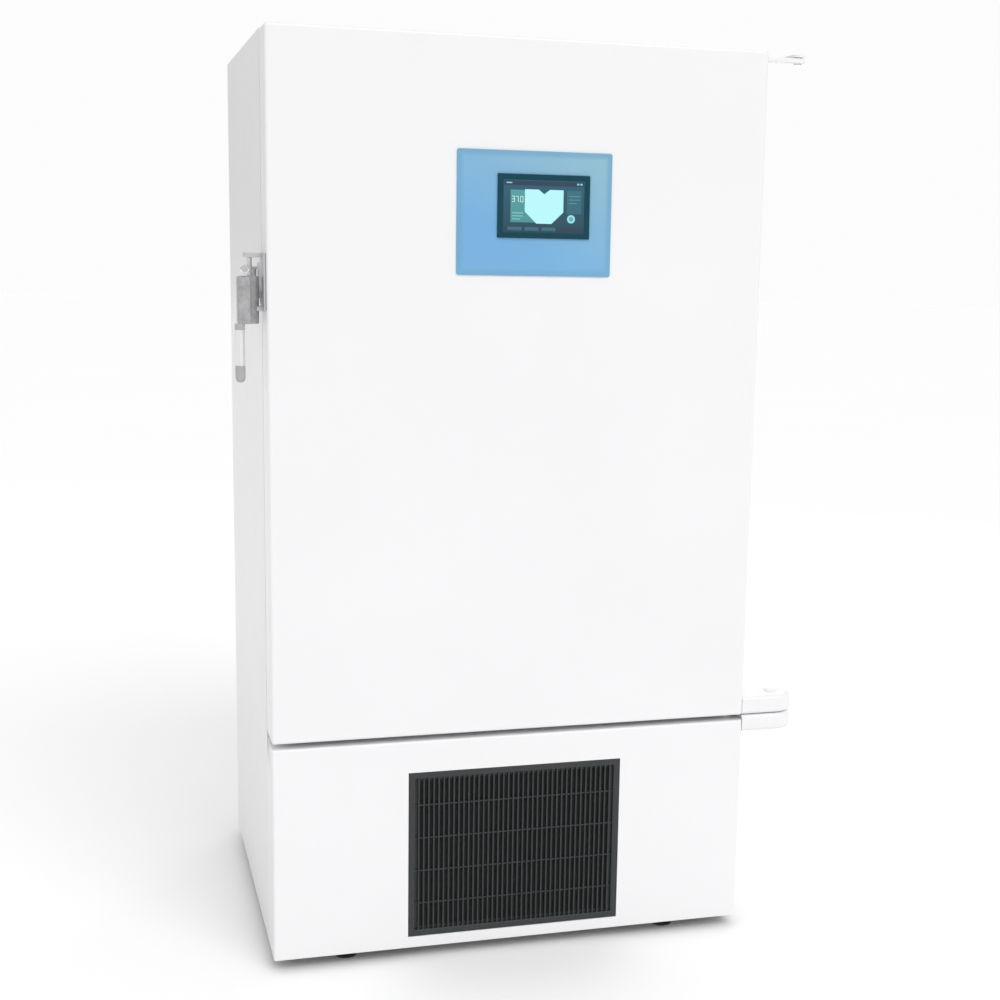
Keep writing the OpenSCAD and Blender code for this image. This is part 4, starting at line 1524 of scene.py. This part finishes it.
def levelling_foot(side):
    low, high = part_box(f"levelling_foot_{side}")
    centre = (low + high) / 2
    thread = []
    z = 12 * MM
    while z < high.z - 2 * MM:
        thread += [(5.2 * MM, z), (6.0 * MM, z + 0.9 * MM)]
        z += 1.8 * MM
    bm = bmesh.new()
    turned(
        bm,
        [
            (0.0, 0.0),
            (22 * MM, 0.0),
            (24 * MM, 1.5 * MM),
            (24 * MM, 6 * MM),
            (20 * MM, 9 * MM),
            (9 * MM, 11 * MM),
            (8 * MM, 14 * MM),
            (0.0, 14 * MM),
        ],
        (centre.x, centre.y, low.z),
        (0, 0, 1),
    )
    piece(f"foot_pad_{side}", bm, f"foot_{side}", BLACK, [f"levelling_foot_{side}"])
    bm = bmesh.new()
    turned(bm, [(0.0, 12 * MM)] + thread + [(0.0, high.z)], (centre.x, centre.y, 0), (0, 0, 1), 20)
    rod(bm, (centre.x, centre.y, 30 * MM), (centre.x, centre.y, 38 * MM), 11 * MM, 6, 0.6 * MM)
    piece(f"foot_stud_{side}", bm, f"foot_{side}", ZINC)


# ---- Port and rear connections ----


def access_port():
    low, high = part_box("access_port")
    middle = (low + high) / 2
    inner_x, flange_x, outer_x = low.x, high.x - 3 * MM, high.x
    bm = bmesh.new()
    turned(
        bm,
        [
            (25 * MM, 0.0),
            (27.9 * MM, 0.0),
            (27.9 * MM, flange_x - inner_x),
            (36 * MM, flange_x - inner_x),
            (37 * MM, flange_x - inner_x + 0.8 * MM),
            (35 * MM, outer_x - inner_x),
            (26 * MM, outer_x - inner_x),
            (25 * MM, outer_x - inner_x - MM),
            (25 * MM, 0.0),
        ],
        (inner_x, middle.y, middle.z),
        (1, 0, 0),
        56,
    )
    piece("port_sleeve", bm, "cabinet", PORT, ["access_port"])
    plug_low, plug_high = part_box("access_plug")
    length = plug_high.x - plug_low.x
    bm = bmesh.new()
    turned(
        bm,
        [
            (6 * MM, 0.0),
            (22 * MM, 0.0),
            (24.5 * MM, 4 * MM),
            (24.6 * MM, length - 9.5 * MM),
            (30 * MM, length - 9 * MM),
            (31 * MM, length - 7 * MM),
            (30.5 * MM, length - 2.5 * MM),
            (28 * MM, length),
            (12 * MM, length - 1.5 * MM),
            (7 * MM, length - 1.5 * MM),
            (6 * MM, length - 2.5 * MM),
            (6 * MM, 0.0),
        ],
        (plug_low.x, middle.y, middle.z),
        (1, 0, 0),
        56,
    )
    piece("silicone_plug", bm, "access_plug", SILICONE, ["access_plug"])


# ---- Building ----


def paint_frame():
    """Finishes of the CAD nodes that are shown as they are."""
    # The cabinet's sheets take the darker copy of the white coat, as painted shade
    paint(SHADED_SIDE_WHITE, "left_side_panel", "right_side_panel", "top_panel", "back_panel")
    paint(SHADED_SIDE_WHITE, "machine_cover", "control_box")
    paint(ABS_WHITE, "front_frame")
    paint(STEEL_LEVEL, "chamber_liner", "air_duct")
    paint(STEEL_UPRIGHT, "shelf_uprights")
    paint(FRAME_PAINT, "base_frame", "fan_shroud")
    paint(INSULATION, "insulation")
    paint(FINS, "evaporator", "condenser")
    paint(HEATER, "heater_element")
    paint(MOTOR, "circulation_motor", "condenser_motor")
    paint(CHROME, "temp_probe")
    paint(LAMP, "chamber_lamp")
    paint(COPPER, "refrigerant_lines")
    paint(BLACK, "power_inlet")
    paint(SWITCH, "power_switch")
    paint(SCREEN, "touch_screen")


def set_floor():
    floor = Finish(
        "studio_floor", Roughness=0.6, Emission_Color=(1.0, 1.0, 1.0), Emission_Strength=0.035
    )
    tone = floor.noise(0.6, 2.0)
    floor.set(Base_Color=floor.mix(tone, (0.93, 0.93, 0.93), (0.945, 0.945, 0.945)))
    bm = bmesh.new()
    bmesh.ops.create_grid(bm, x_segments=1, y_segments=1, size=40.0)
    mesh = bpy.data.meshes.new("floor")
    bm.to_mesh(mesh)
    bm.free()
    mesh.materials.append(floor.material)
    ground = bpy.data.objects.new("floor", mesh)
    bpy.context.scene.collection.objects.link(ground)


set_camera()
set_lights()
set_floor()
paint_frame()
door_skin()
door_inner_pan()
door_seal()
control_panel()
screen_surround()
screen_figures()
hinge_arms()
latch()
plinth()
air_grille()
rear_louvres()
for shelf in ("shelf_1", "shelf_2", "shelf_3"):
    wire_shelf(shelf)
fan_guard()
fan(
    "circulation_rotor",
    "circulation_fan",
    "circulation_fan",
    "circulation_fan_spin",
    80 * MM,
    22 * MM,
    6,
    0.42,
    0.5,
    STEEL_LEVEL,
)
fan(
    "condenser_rotor",
    "condenser_fan",
    "condenser_fan",
    "condenser_fan_spin",
    117 * MM,
    34 * MM,
    5,
    0.45,
    0.46,
    FAN,
)
inner_door()
compressor()
casters()
levelling_foot("left")
levelling_foot("right")
access_port()
